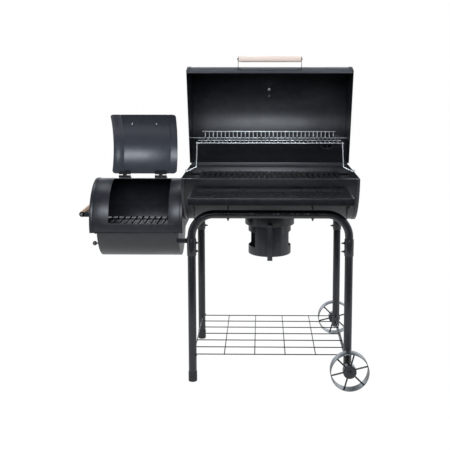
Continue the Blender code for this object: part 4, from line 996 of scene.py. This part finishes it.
def firebox_wall():
    wall = drum_wall("firebox_wall", FIRE_LEFT + 0.002, FIRE_RIGHT - 0.002, FIRE_Z,
                     FIRE_RADIUS - SHEET - 0.0003, FIRE_SEAM, True)
    box_through(wall, at(-0.647, -0.3, 0.618), at(-0.407, -0.004, 0.95))
    modify(wall, "BEVEL", width=0.0004, segments=2, limit_method="ANGLE", angle_limit=math.radians(60))
    fit(smooth(wall), "firebox", BODY, "firebox_paint", "firebox_shell")
    for side, face, turn in (("left", FIRE_LEFT, 1), ("right", FIRE_RIGHT, -1)):
        cup = drum_cup("firebox_cup_" + side, face, face + turn * BAND_WIDTH, FIRE_Z, FIRE_RADIUS, FIRE_SEAM,
                       True)
        if side == "right":
            box_through(cup, at(face - 0.02, *SMOKE_LOW), at(face + 0.02, *SMOKE_HIGH))
        modify(cup, "BEVEL", width=0.0004, segments=2, limit_method="ANGLE", angle_limit=math.radians(60))
        fit(smooth(cup), "firebox", BODY, "firebox_paint", "firebox_end_" + side)


def firebox_tray():
    pan = drum_cup("pan", PAN_LEFT, PAN_RIGHT, FIRE_Z, PAN_RADIUS, FIRE_SEAM - 0.0012, False, 0.003)
    cap = drum_cup("pan_cap", PAN_RIGHT, PAN_RIGHT - 0.012, FIRE_Z, PAN_RADIUS - 0.0001, FIRE_SEAM - 0.0012,
                   False, 0.003)
    for turn in VENT_TURNS:
        y, z = 0.024 * math.cos(turn), VENT_Z + 0.024 * math.sin(turn)
        hole_through(pan, at(PAN_LEFT - 0.01, y, z), at(PAN_LEFT + 0.01, y, z), 0.009, 32)
    reach = math.sqrt(FIRE_RADIUS**2 - (FIRE_Z - FIRE_SEAM) ** 2) + 0.001
    low, high = at(FIRE_LEFT, -reach, FIRE_SEAM - 0.0019), at(FIRE_RIGHT, reach, FIRE_SEAM - 0.0004)
    flange = block("pan_flange", low, high, 0.0005)
    inner = math.sqrt(PAN_RADIUS**2 - (FIRE_Z - FIRE_SEAM) ** 2) - 0.002
    cut_by(flange, block("hole", at(PAN_LEFT + 0.002, -inner, 0.57), at(PAN_RIGHT - 0.002, inner, 0.59),
                         0.002))
    fit(smooth(merge("firebox_tray", [pan, cap, flange])), "pan", BODY, "pan_paint", "firebox_pan")
    bolts = [at(x, turn * (reach - 0.006), FIRE_SEAM - 0.0018) for x in (-0.70, -0.54, -0.38)
             for turn in (-1, 1)]
    fit(screw_heads("pan_bolts", bolts, (0, 0, -1), 0.0045, 0.004, True), "bolt", BODY, "pan_paint")


VENT_Z = 0.520
VENT_RADIUS = 0.042
VENT_TURNS = [2 * math.pi * step / 3 + math.pi / 2 for step in range(3)]


def vent():
    disc = bar("vent_plate", at(PAN_LEFT - 0.0016, 0, VENT_Z), at(PAN_LEFT - 0.0004, 0, VENT_Z), VENT_RADIUS,
               0.0004, 64)
    for turn in VENT_TURNS:
        y, z = 0.024 * math.cos(turn), VENT_Z + 0.024 * math.sin(turn)
        hole_through(disc, at(PAN_LEFT - 0.01, y, z), at(PAN_LEFT + 0.01, y, z), 0.009, 32)
    knob_z = VENT_Z - 0.020
    neck = bar("vent_neck", at(PAN_LEFT - 0.036, 0, knob_z), at(PAN_LEFT - 0.001, 0, knob_z), 0.003, 0.0004,
               24)
    nut = bar("vent_nut", at(PAN_LEFT - 0.0055, 0, VENT_Z), at(PAN_LEFT - 0.0012, 0, VENT_Z), 0.0055, 0.0006,
              6)
    fit(merge("vent_shutter", [disc, neck, nut]), "pan", "vent_disc", "pan_paint", "vent_disc")
    clear_selection()
    bpy.ops.mesh.primitive_uv_sphere_add(segments=40, ring_count=24, radius=0.0098,
                                         location=at(PAN_LEFT - 0.0405, 0, knob_z))
    ball = started("vent_ball")
    edit(ball)
    bpy.ops.mesh.bisect(plane_co=at(PAN_LEFT - 0.0335, 0, knob_z), plane_no=(1, 0, 0), clear_outer=True,
                        use_fill=True)
    done()
    fit(smooth(ball, 40), "knob", "vent_disc", "hinge_steel")


def open_fire_lid(piece):
    return swing(piece, FIRE_HINGE, FIRE_OPEN)


def firebox_door():
    wall = open_drum("fire_lid", MID_X + FIRE_LID_LEFT, MID_X + FIRE_LID_RIGHT, MID_Y, FIRE_Z,
                     FIRE_LID_RADIUS, 160)
    low_turn, high_turn = math.pi + math.radians(8), math.pi - math.radians(88)
    axis = at(0, 0, FIRE_Z)
    bisect_away(wall, axis, (0, math.sin(high_turn), -math.cos(high_turn)))
    bisect_away(wall, axis, (0, -math.sin(low_turn), math.cos(low_turn)))
    edit(wall)
    for x in (-0.616 - 0.003, -0.616 + 0.003, -0.420 - 0.003, -0.420 + 0.003, FIRE_LID_LEFT + 0.020,
              FIRE_LID_RIGHT - 0.020):
        bpy.ops.mesh.select_all(action="SELECT")
        bpy.ops.mesh.bisect(plane_co=(MID_X + x, 0, 0), plane_no=(1, 0, 0))
    done()
    for x in (-0.616, -0.420):
        raise_bead(wall, MID_X + x)
    thicken(wall, SHEET)
    round_corners(wall, axis, high_turn, low_turn)
    modify(wall, "BEVEL", width=0.0005, segments=2, limit_method="ANGLE", angle_limit=math.radians(60))
    # The door takes the lighter "fire_lid" black, a painted highlight for the light on its inner face.
    fit(open_fire_lid(smooth(wall, 40)), "fire_lid", FIRE_BODY, "firebox_paint", "firebox_lid")


CORNER = 0.016


def round_corners(wall, axis, high_turn, low_turn):
    """Cuts each corner of the bent sheet to a quarter round."""
    for turn, inward in ((high_turn, 1), (low_turn, -1)):
        for x, side in ((MID_X + FIRE_LID_LEFT, 1), (MID_X + FIRE_LID_RIGHT, -1)):
            swept = turn + inward * CORNER / FIRE_LID_RADIUS
            out = Vector((0, math.cos(swept), math.sin(swept)))
            centre = axis + out * FIRE_LID_RADIUS
            centre.x = x + side * CORNER
            back = Vector((0, math.sin(swept), -math.cos(swept))) * inward
            corner = centre + Vector((-side, 0, 0)) * (CORNER + 0.002) + back * (CORNER + 0.002)
            middle_point = (centre + corner) / 2
            clear_selection()
            bpy.ops.mesh.primitive_cube_add(size=1)
            chip = started("hole")
            reach = (CORNER + 0.002) / 2
            for vert in chip.data.vertices:
                vert.co = (
                    middle_point + Vector((2 * vert.co.x * reach, 0, 0)) + back * (2 * vert.co.y * reach)
                    + out * (0.04 * vert.co.z)
                )
            edit(chip)
            bpy.ops.mesh.normals_make_consistent(inside=False)
            done()
            cut_by(chip, bar("hole", centre - out * 0.04, centre + out * 0.04, CORNER, 0, 48))
            cut_by(wall, chip)


def raise_bead(wall, x):
    """Presses a shallow bead into the sheet along a ring."""
    edit(wall)
    bpy.ops.mesh.select_all(action="SELECT")
    bpy.ops.mesh.bisect(plane_co=(x, 0, 0), plane_no=(1, 0, 0))
    done()
    for vert in wall.data.vertices:
        if abs(vert.co.x - x) < 0.0005:
            out = Vector((0, vert.co.y - MID_Y, vert.co.z - FIRE_Z)).normalized()
            vert.co -= out * 0.0012


FIRE_GRIP_TURN = math.pi - math.radians(11)
FIRE_GRIP_X = -0.5235


def fire_handle():
    out = Vector((0, math.cos(FIRE_GRIP_TURN), math.sin(FIRE_GRIP_TURN)))
    up = Vector((0, out.z, -out.y))
    foot = around(FIRE_LID_RADIUS + 0.0006, FIRE_GRIP_TURN, FIRE_GRIP_X, FIRE_Z)
    centre = foot + out * 0.0372
    half = 0.0505
    side = Vector((half, 0, 0))
    grip = bar("fire_handle_wood", centre - side, centre + side, 0.011, 0.002, 48, 4)
    fit(open_fire_lid(grip), "fire_wood", FIRE_BODY, "side_grip_wood", "firebox_grip")
    arms = []
    for turn in (-1, 1):
        x = foot.x + turn * (half + 0.0013)
        arms.append(strap_plate("fire_arm", foot, out, up, 0.0372, 0.010, x, 0.0016))
    base = block_between("fire_base", foot - up * 0.0095, foot + up * 0.0095, out, 0.0009, side,
                         2 * half + 0.004, foot.x)
    fit(open_fire_lid(merge("fire_arms", arms + [base])), "bolt", FIRE_BODY, "firebox_paint",
        "firebox_bracket")
    screws = [
        screw_heads("arm_screw", [Vector((foot.x + turn * (half + 0.002), centre.y, centre.z))],
                    (turn, 0, 0), 0.0042, 0.0026)
        for turn in (-1, 1)
    ]
    fit(open_fire_lid(merge("fire_arm_screws", screws)), "steel", FIRE_BODY, "hinge_steel")
    inside = around(FIRE_LID_RADIUS - SHEET, FIRE_GRIP_TURN, FIRE_GRIP_X, FIRE_Z)
    heads = screw_heads("fire_base_screws", [inside + Vector((turn * half, 0, 0)) for turn in (-1, 1)], -out,
                        0.0042, 0.003)
    fit(open_fire_lid(heads), "steel", FIRE_BODY, "hinge_steel")


def fire_hinges():
    y, z = FIRE_HINGE.y, FIRE_HINGE.z
    top = FIRE_Z + FIRE_RADIUS
    for side, place in (("left", -0.606), ("right", -0.4555)):
        x = MID_X + place
        leaf = block("leaf", (x - LEAF / 2, y + 0.004, top - 0.0012),
                     (x + LEAF / 2, y + 0.0275, top + 0.0006), 0.0006)
        web = block("web", (x - LEAF / 2, y - 0.0002, top - 0.0002), (x + LEAF / 2, y + 0.0058, z - 0.0028),
                    0.0005)
        screws = screw_heads("leaf_screw", [(x + s * 0.015, y + 0.018, top + 0.0004) for s in (-1, 1)],
                             (0, 0, 1), 0.0036, 0.0018)
        piece = merge("fire_hinge_fixed_" + side, [leaf, web, screws] + hinge_parts("knuckle", x, y, z, True))
        fit(piece, "bolt", BODY, "hinge_steel", "firebox_hinge_" + side)
        lid_top = FIRE_Z + FIRE_LID_RADIUS
        leaf = block("leaf", (x - LEAF / 2, y - 0.030, lid_top - 0.0030),
                     (x + LEAF / 2, y - 0.0052, lid_top - 0.0002), 0.0006)
        web = block("web", (x - 0.0078, y - 0.0064, lid_top - 0.0010), (x + 0.0078, y - 0.0004, z - 0.0004),
                    0.0005)
        piece = merge("fire_hinge_moving_" + side, [leaf, web] + hinge_parts("knuckle", x, y, z, False))
        fit(open_fire_lid(piece), "bolt", FIRE_BODY, "firebox_paint")


SIDE_GRIP_X = FIRE_LEFT - 0.0445
SIDE_GRIP_Z = 0.6415


def side_handle():
    half = 0.090
    grip = bar("side_handle_wood", at(SIDE_GRIP_X, -half, SIDE_GRIP_Z), at(SIDE_GRIP_X, half, SIDE_GRIP_Z),
               0.0115, 0.002, 48, 4)
    fit(grip, "side_wood", BODY, "side_grip_wood", "side_grip")
    face = FIRE_LEFT - 0.0004
    pieces = [block("side_base", at(face - 0.0016, -half - 0.002, SIDE_GRIP_Z - 0.0103),
                    at(face, half + 0.002, SIDE_GRIP_Z + 0.0103), 0.0006)]
    for turn in (-1, 1):
        inner, outer = sorted((turn * (half + 0.0004), turn * (half + 0.0019)))
        pieces.append(block("side_arm", at(SIDE_GRIP_X, inner, SIDE_GRIP_Z - 0.0105),
                            at(face, outer, SIDE_GRIP_Z + 0.0105), 0.0003))
        pieces.append(bar("side_tip", at(SIDE_GRIP_X, inner, SIDE_GRIP_Z),
                          at(SIDE_GRIP_X, outer, SIDE_GRIP_Z), 0.0105, 0.0003, 40))
    fit(merge("side_arms", pieces), "bolt", BODY, "firebox_paint", "side_bracket")
    screws = [
        screw_heads("arm_screw", [at(SIDE_GRIP_X, turn * (half + 0.0018), SIDE_GRIP_Z)], (0, turn, 0),
                    0.0042, 0.0024)
        for turn in (-1, 1)
    ]
    fit(merge("side_arm_screws", screws), "steel", BODY, "hinge_steel")


def firebox_stay():
    """The angle plate from the pan to the front left leg."""
    low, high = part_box("firebox_strut")
    plate = block("stay_plate", (high.x - 0.0020, low.y, low.z), high, 0.0006)
    wing = block("stay_wing", low, (high.x, low.y + 0.0020, high.z), 0.0006)
    tab = block("stay_tab", low, (low.x + 0.002, low.y + 0.006, high.z), 0.0005)
    fit(merge("firebox_stay", [plate, wing, tab]), "frame", BODY, "frame_paint", "firebox_strut")


def firebox():
    firebox_stay()
    firebox_wall()
    firebox_tray()
    vent()
    firebox_door()
    fire_handle()
    fire_hinges()
    side_handle()


# ---------------------------------------------------------------- frame
TUBE_RADIUS = 0.016
TUBE_Y = 0.244
TUBE_Z = 0.674
LEG_X = 0.3065
TUBE_BEND = 0.090
SEAM_Z = 0.537
ENDS = (("front", -1), ("rear", 1))
SIDES = (("left", -1), ("right", 1))


def top_tube(end, turn):
    y = turn * TUBE_Y
    corners = [at(-LEG_X, y, SEAM_Z), at(-LEG_X, y, TUBE_Z), at(LEG_X, y, TUBE_Z), at(LEG_X, y, SEAM_Z)]
    piece = tube("arch_" + end, route(corners, TUBE_BEND, 14), TUBE_RADIUS, 7)
    fit(piece, "frame", BODY, "frame_paint", end + "_top_tube")


def leg(end, turn, side, reach):
    low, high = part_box("leg_" + end + "_" + side)
    centre = at(reach * LEG_X, turn * TUBE_Y, 0)
    piece = bar("post_" + end + "_" + side, (centre.x, centre.y, low.z), (centre.x, centre.y, high.z),
                TUBE_RADIUS, 0.001, 40)
    fit(piece, "frame", BODY, "frame_paint", "leg_" + end + "_" + side)


def joint_strap(end, turn, side, reach):
    """The half shell bolted over the joint between a leg and its arch."""
    low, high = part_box("sleeve_" + end + "_" + side)
    centre = at(reach * LEG_X, turn * TUBE_Y, 0)
    outer = (high.x - low.x) / 2
    name = "strap_" + end + "_" + side
    shell = bar(name, (centre.x, centre.y, low.z), (centre.x, centre.y, high.z), outer, 0.0006, 48)
    inner = Vector((centre.x, centre.y, low.z - 0.01)), Vector((centre.x, centre.y, high.z + 0.01))
    hole_through(shell, inner[0], inner[1], TUBE_RADIUS + 0.0003)
    fit(smooth(shell), "frame", BODY, "frame_paint", "sleeve_" + end + "_" + side)
    bolts = []
    for z in (0.560, 0.527):
        start = Vector((centre.x - reach * (outer - 0.0008), centre.y, z))
        bolts.append(screw_heads("head", [start], (-reach, 0, 0), 0.0055, 0.0045, True))
        bolts.append(bar("thread", start, start + Vector((-reach * 0.012, 0, 0)), 0.003, 0.0005, 20))
    fit(merge(name + "_bolts", bolts), "bolt", BODY, "frame_paint")


def cradle(end, turn, side, reach):
    low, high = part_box("cradle_" + end + "_" + side)
    choose(frame["nodes"]["cradle_" + end + "_" + side])
    bpy.ops.object.duplicate()
    piece = bpy.context.active_object
    piece.name = "saddle_" + end + "_" + side
    choose(piece)
    bpy.ops.object.parent_clear(type="CLEAR_KEEP_TRANSFORM")
    flatten(piece)
    edit(piece)
    bpy.ops.mesh.remove_doubles(threshold=0.00001)
    bpy.ops.mesh.dissolve_limited(angle_limit=math.radians(1))
    done()
    modify(piece, "BEVEL", width=0.0004, segments=2, limit_method="ANGLE", angle_limit=math.radians(50))
    fit(smooth(piece), "frame", BODY, "frame_paint", "cradle_" + end + "_" + side)
    x, y = (low.x + high.x) / 2, MID_Y + turn * TUBE_Y
    below = TUBE_Z - TUBE_RADIUS
    parts = [
        bar("thread", (x, y, below + 0.001), (x, y, below - 0.010), 0.003, 0.0006, 20),
        screw_heads("nut", [(x, y, below + 0.0006)], (0, 0, -1), 0.0056, 0.005, True),
    ]
    fit(merge("saddle_bolt_" + end + "_" + side, parts), "bolt", BODY, "frame_paint")


def foot(end):
    low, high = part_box("foot_" + end)
    middle_point = (low + high) / 2
    outer = TUBE_RADIUS + 0.0013
    cap = bar("rubber_foot_" + end, (middle_point.x, middle_point.y, low.z),
              (middle_point.x, middle_point.y, high.z), outer, 0.0018, 48, 4)
    fit(cap, "plastic", BODY, "foot_plastic", "foot_" + end)


def wheel(end):
    low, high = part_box("wheel_" + end)
    centre = (low + high) / 2
    half = (high.y - low.y) / 2
    y_axis = Vector((0, 1, 0))
    tyre = bar("tread", centre - y_axis * half, centre + y_axis * half, WHEEL_RADIUS, 0.0016, 96, 3)
    hole_through(tyre, centre - y_axis * 0.05, centre + y_axis * 0.05, WHEEL_RADIUS - 0.0026, 96)
    fit(smooth(tyre), "band", "wheel_" + end, "wheel_steel", "wheel_" + end)
    hub = bar("hub", centre - y_axis * 0.017, centre + y_axis * 0.017, 0.026, 0.002, 64, 3)
    hole_through(hub, centre - y_axis * 0.05, centre + y_axis * 0.05, 0.0056, 32)
    spokes = []
    for spoke in range(6):
        turn = 2 * math.pi * (spoke + 0.25) / 6
        out = Vector((math.cos(turn), 0, math.sin(turn)))
        spokes.append(bar("spoke", centre + out * 0.023, centre + out * (WHEEL_RADIUS - 0.002), 0.0032, 0,
                          20))
    fit(merge("wheel_core_" + end, [smooth(hub)] + spokes), "frame", "wheel_" + end, "frame_paint")


def axle():
    low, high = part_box("axle")
    centre = (low + high) / 2
    rod = bar("axle_rod", (centre.x, low.y, centre.z), (centre.x, high.y, centre.z), 0.005, 0.0008, 32)
    pieces = [rod]
    for y, turn in ((low.y, -1), (high.y, 1)):
        start = Vector((centre.x, y - turn * 0.0094, centre.z))
        washer = bar("washer", start + Vector((0, turn * 0.0001, 0)), start + Vector((0, turn * 0.0014, 0)),
                     0.0088, 0.0003, 40)
        nut = bar("nut", start + Vector((0, turn * 0.0014, 0)), start + Vector((0, turn * 0.0078, 0)),
                  0.0085, 0.0008, 6)
        pieces += [washer, nut]
    fit(merge("wheel_axle", pieces), "bolt", BODY, "axle_steel", "axle")


def wire_shelf():
    low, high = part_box("wire_shelf")
    radius = 0.0021
    z = high.z - radius
    pieces = []
    leg_side = LEG_X - TUBE_RADIUS
    leg_back = TUBE_Y - TUBE_RADIUS
    for y in (-0.24, -0.16, -0.08, 0.0, 0.08, 0.16, 0.24):
        reach = leg_side if abs(y) > 0.2 else 0.304
        pieces.append(bar("row", at(-reach, y, z), at(reach, y, z), radius, 0.0004, 16))
    for x in (-0.302, -0.181, -0.0604, 0.0604, 0.181, 0.302):
        reach = leg_back if abs(x) > 0.2 and abs(x) > 0.3 else 0.242
        pieces.append(bar("column", at(x, -reach, z - 0.0005), at(x, reach, z - 0.0005), radius, 0.0004, 16))
    fit(merge("lower_shelf", pieces), "wire", BODY, "wire_paint", "wire_shelf")
    screws = [at(sx * (leg_side + 0.001), sy * (TUBE_Y + 0.0095), 0.108) for sx in (-1, 1) for sy in (-1, 1)]
    pieces = [screw_heads("screw", [place], (-sx, 0, 0), 0.0035, 0.003) for place,
              sx in zip(screws, (-1, -1, 1, 1))]
    fit(merge("shelf_screws", pieces), "bolt", BODY, "frame_paint")


def stand():
    for end, turn in ENDS:
        top_tube(end, turn)
        foot(end)
        wheel(end)
        for side, reach in SIDES:
            leg(end, turn, side, reach)
            joint_strap(end, turn, side, reach)
            cradle(end, turn, side, reach)
    axle()
    wire_shelf()


# ---------------------------------------------------------------- front shelf
def front_shelf():
    low, high = at(-0.302, -0.444, 0.744), at(0.302, -0.2185, 0.770)
    clear_selection()
    bpy.ops.mesh.primitive_cube_add(size=1, location=(low + high) / 2, scale=high - low)
    tray = started("shelf_tray")
    edit(tray)
    pick(tray, "FACE", lambda face: face.normal.z < -0.9)
    bpy.ops.mesh.delete(type="FACE")
    pick(tray, "FACE", lambda face: face.normal.z > 0.9)
    bpy.ops.mesh.inset(thickness=0.0035)
    bpy.ops.mesh.inset(thickness=0.0165)
    bpy.ops.transform.translate(value=(0, 0, -0.007))
    done()
    thicken(tray, SHEET)
    modify(tray, "BEVEL", width=0.0012, segments=3, limit_method="ANGLE", angle_limit=math.radians(15))
    arms = []
    for turn in (-1, 1):
        x = MID_X + turn * 0.295
        seat, tall = 0.6572, 0.762
        clear_selection()
        bpy.ops.mesh.primitive_plane_add(size=1)
        arm = started("shelf_arm")
        outline = [(-0.261, seat), (-0.227, seat), (-0.221, 0.740), (-0.221, tall), (-0.414, tall),
                   (-0.414, 0.744), (-0.300, 0.700)]
        shape = bmesh.new()
        shape.faces.new([shape.verts.new((x - 0.001, MID_Y + y, z)) for y, z in outline])
        shape.to_mesh(arm.data)
        shape.free()
        edit(arm)
        bpy.ops.mesh.extrude_region_move(TRANSFORM_OT_translate={"value": (0.002, 0, 0)})
        bpy.ops.mesh.select_all(action="SELECT")
        bpy.ops.mesh.normals_make_consistent(inside=False)
        done()
        modify(arm, "BEVEL", width=0.0005, segments=2, limit_method="ANGLE", angle_limit=math.radians(60))
        arms.append(arm)
    fit(smooth(merge("shelf_tray", [smooth(tray)] + arms)), "shelf", BODY, "shelf_paint", "front_shelf")
    hem = [block("hem", at(-0.3015, y, 0.7688), at(0.3015, y + 0.0022, 0.7702), 0.0005)
           for y in (-0.4438, -0.2209)]
    hem += [block("hem", at(x, -0.4438, 0.7688), at(x + 0.0022, -0.2187, 0.7702), 0.0005)
            for x in (-0.3015, 0.2993)]
    # The hems take the lighter "rim" black, painted highlight lines along the shelf's edges.
    fit(merge("shelf_hem", hem), "rim", BODY, "shelf_paint")
    screws = [screw_heads("screw", [at(turn * 0.2962, y, 0.7525)], (turn, 0, 0), 0.004, 0.0024)
              for turn in (-1, 1) for y in (-0.26, -0.38)]
    fit(merge("shelf_arm_screws", screws), "bolt", BODY, "shelf_paint")


# ---------------------------------------------------------------- ash can
COLLAR_RADIUS = 0.103
CAN_RADIUS = 0.089
CAN_LOW, CAN_HIGH = 0.464, 0.600
GRIP_HALF_WIDTH = 0.0105
WINDOW_LOW, WINDOW_HIGH = 0.498, 0.560
CAN_WINDOWS = ((-118, -43), (62, 137))


def ash_collar():
    low = 0.589
    ring = bar("collar_wall", at(0, 0, low), at(0, 0, 0.66), COLLAR_RADIUS, 0.0015, 96)
    cut_by(ring, bar("hole", at(0, 0, low + SHEET), at(0, 0, 0.67), COLLAR_RADIUS - SHEET, 0, 96))
    cut_by(ring, bar("hole", at(0, 0, low - 0.02), at(0, 0, low + 0.02), CAN_RADIUS + 0.0013, 0, 96))
    cut_by(ring, bar("hole", at(-0.2, 0, BARREL_Z), at(0.2, 0, BARREL_Z), BARREL_RADIUS + 0.0002, 0, 192))
    roll = [at((COLLAR_RADIUS - 0.0013) * math.cos(t), (COLLAR_RADIUS - 0.0013) * math.sin(t), low + 0.0013)
            for t in [2 * math.pi * s / 96 for s in range(96)]]
    # The ring takes the darkened "collar" black, a painted shade for the shadow under the barrel.
    fit(smooth(merge("ash_ring", [ring, tube("roll", roll, 0.0013, 3, closed=True)])), "collar", BODY,
        "chamber_paint", "ash_collar")


def window_wedge(start, end):
    """A cutter through the pail's wall between two angles, measured from the front towards +X."""
    clear_selection()
    bpy.ops.mesh.primitive_plane_add(size=1)
    wedge = started("hole")
    turns = [start + (end - start) * step / 10 for step in range(11)]
    outline = [(reach * math.sin(turn), -reach * math.cos(turn)) for reach, order in ((0.05, 1), (0.13, -1))
               for turn in turns[::order]]
    shape = bmesh.new()
    shape.faces.new([shape.verts.new(at(x, y, WINDOW_LOW)) for x, y in outline])
    shape.to_mesh(wedge.data)
    shape.free()
    edit(wedge)
    bpy.ops.mesh.extrude_region_move(TRANSFORM_OT_translate={"value": (0, 0, WINDOW_HIGH - WINDOW_LOW)})
    bpy.ops.mesh.select_all(action="SELECT")
    bpy.ops.mesh.normals_make_consistent(inside=False)
    pick(wedge, "EDGE", lambda edge: abs(edge.verts[0].co.z - edge.verts[1].co.z) < 0.0001
         and edge.calc_length() > 0.05)
    bpy.ops.mesh.bevel(offset=0.005, segments=4, affect="EDGES")
    done()
    return wedge


def ash_can():
    can = bar("ash_pail", at(0, 0, CAN_LOW), at(0, 0, CAN_HIGH), CAN_RADIUS, 0.003, 96, 4)
    cut_by(can, bar("hole", at(0, 0, CAN_LOW + SHEET), at(0, 0, CAN_HIGH + 0.02), CAN_RADIUS - SHEET, 0, 96))
    for start, end in CAN_WINDOWS:
        cut_by(can, window_wedge(math.radians(start), math.radians(end)))
    modify(can, "BEVEL", width=0.0004, segments=2, limit_method="ANGLE", angle_limit=math.radians(50))
    face = -0.115
    channel = [block("strap", at(-GRIP_HALF_WIDTH, face, 0.455), at(GRIP_HALF_WIDTH, face + SHEET, 0.603),
                     0.0005)]
    for z in (0.474, 0.5775):
        channel.append(block("web", at(-GRIP_HALF_WIDTH, face + 0.0008, z),
                             at(GRIP_HALF_WIDTH, -CAN_RADIUS + 0.0006, z + 0.0016), 0.0005))
    clip = block("clip", at(-GRIP_HALF_WIDTH, face + 0.0002, 0.586),
                 at(GRIP_HALF_WIDTH, face + 0.0035, 0.6029), 0.0008)
    fit(merge("ash_pail", [smooth(can)] + channel + [clip]), "can", "ash_can", "can_enamel", "ash_can")


cooking_chamber()
for side, turn in SIDES:
    grate(side, turn)
    rack_leg(side, turn)
rails()
fire_bars()
lid()
warming_rack()
firebox()
stand()
front_shelf()
ash_collar()
ash_can()


# ---------------------------------------------------------------- floor, light and camera
FLOOR_SIZE, FLOOR_FRONT, FLOOR_GLOW = 40.0, 1.3, 0.55
FRONT_LIGHT, BACK_LIGHT, CEILING_SHARE = 0.04, 3.0, 0.10
LAMP_COLOUR = (0.86, 0.92, 1.0)


def floor():
    clear_selection()
    bpy.ops.mesh.primitive_plane_add(size=FLOOR_SIZE, location=(0, FLOOR_SIZE / 2 - FLOOR_FRONT, 0))
    ground = started("studio_floor")
    pale = bpy.data.materials.new("studio_white")
    pale.use_nodes = True
    shader = pale.node_tree.nodes["Principled BSDF"]
    shader.inputs["Base Color"].default_value = (0.80, 0.80, 0.80, 1)
    shader.inputs["Roughness"].default_value = 0.9
    shader.inputs["Specular IOR Level"].default_value = 0.1
    tree = pale.node_tree
    glow = tree.nodes.new("ShaderNodeEmission")
    glow.inputs["Strength"].default_value = 1.04
    rays = tree.nodes.new("ShaderNodeLightPath")
    share = tree.nodes.new("ShaderNodeMath")
    share.operation = "MULTIPLY_ADD"
    share.inputs[1].default_value = 0.95 - FLOOR_GLOW
    share.inputs[2].default_value = FLOOR_GLOW
    choice = tree.nodes.new("ShaderNodeMixShader")
    tree.links.new(rays.outputs["Is Camera Ray"], share.inputs[0])
    tree.links.new(share.outputs[0], choice.inputs["Fac"])
    tree.links.new(shader.outputs[0], choice.inputs[1])
    tree.links.new(glow.outputs[0], choice.inputs[2])
    tree.links.new(choice.outputs[0], tree.nodes["Material Output"].inputs["Surface"])
    ground.data.materials.append(pale)


def lamp(name, place, aim, width, height, power):
    light = bpy.data.lights.new(name, "AREA")
    light.shape = "RECTANGLE"
    light.size, light.size_y = width, height
    light.energy = power
    light.color = LAMP_COLOUR
    made = bpy.data.objects.new(name, light)
    bpy.context.scene.collection.objects.link(made)
    made.location = place
    made.rotation_euler = (Vector(aim) - Vector(place)).to_track_quat("-Z", "Y").to_euler()


def studio():
    scene = bpy.context.scene
    world = bpy.data.worlds.new("studio")
    world.use_nodes = True
    tree = world.node_tree
    shade = tree.nodes["Background"]
    shade.inputs["Color"].default_value = (0.87, 0.93, 1.0, 1)
    place = tree.nodes.new("ShaderNodeTexCoord").outputs["Generated"]
    split = tree.nodes.new("ShaderNodeSeparateXYZ")
    tree.links.new(place, split.inputs[0])
    behind = spread(tree, split.outputs["Y"], FRONT_LIGHT, BACK_LIGHT, 0.1, 0.8)
    above = spread(tree, split.outputs["Z"], 1.0, CEILING_SHARE, 0.12, 0.45)
    tree.links.new(arithmetic(tree, "MULTIPLY", behind, above), shade.inputs["Strength"])
    backdrop = tree.nodes.new("ShaderNodeBackground")
    backdrop.inputs["Color"].default_value = (1.0, 1.0, 1.0, 1)
    rays = tree.nodes.new("ShaderNodeLightPath")
    choice = tree.nodes.new("ShaderNodeMixShader")
    tree.links.new(rays.outputs["Is Camera Ray"], choice.inputs["Fac"])
    tree.links.new(shade.outputs[0], choice.inputs[1])
    tree.links.new(backdrop.outputs[0], choice.inputs[2])
    tree.links.new(choice.outputs[0], tree.nodes["World Output"].inputs["Surface"])
    scene.world = world
    scene.view_settings.view_transform = "Standard"
    lamp("front_top", (0.0, -3.2, 2.2), (0.0, 0.1, 0.9), 2.2, 1.1, 105)
    lamp("overhead", (0.0, 0.6, 3.0), (0.0, 0.0, 0.7), 2.4, 1.0, 32)
    lamp("left", (-2.6, -0.8, 1.2), (0, 0, 0.6), 0.4, 2.0, 10)
    lamp("right", (2.7, -0.8, 1.2), (0, 0, 0.6), 0.4, 2.0, 8)


def camera():
    lens = bpy.data.cameras.new("view")
    lens.lens = 62.715
    lens.sensor_width = 36
    lens.shift_x, lens.shift_y = -0.0589, -0.15
    made = bpy.data.objects.new("view", lens)
    bpy.context.scene.collection.objects.link(made)
    made.location = at(-0.0339, -3.2342, 1.2608)
    made.rotation_euler = (math.radians(90 - 6.967), 0, math.radians(0.749))
    bpy.context.scene.camera = made


floor()
studio()
camera()
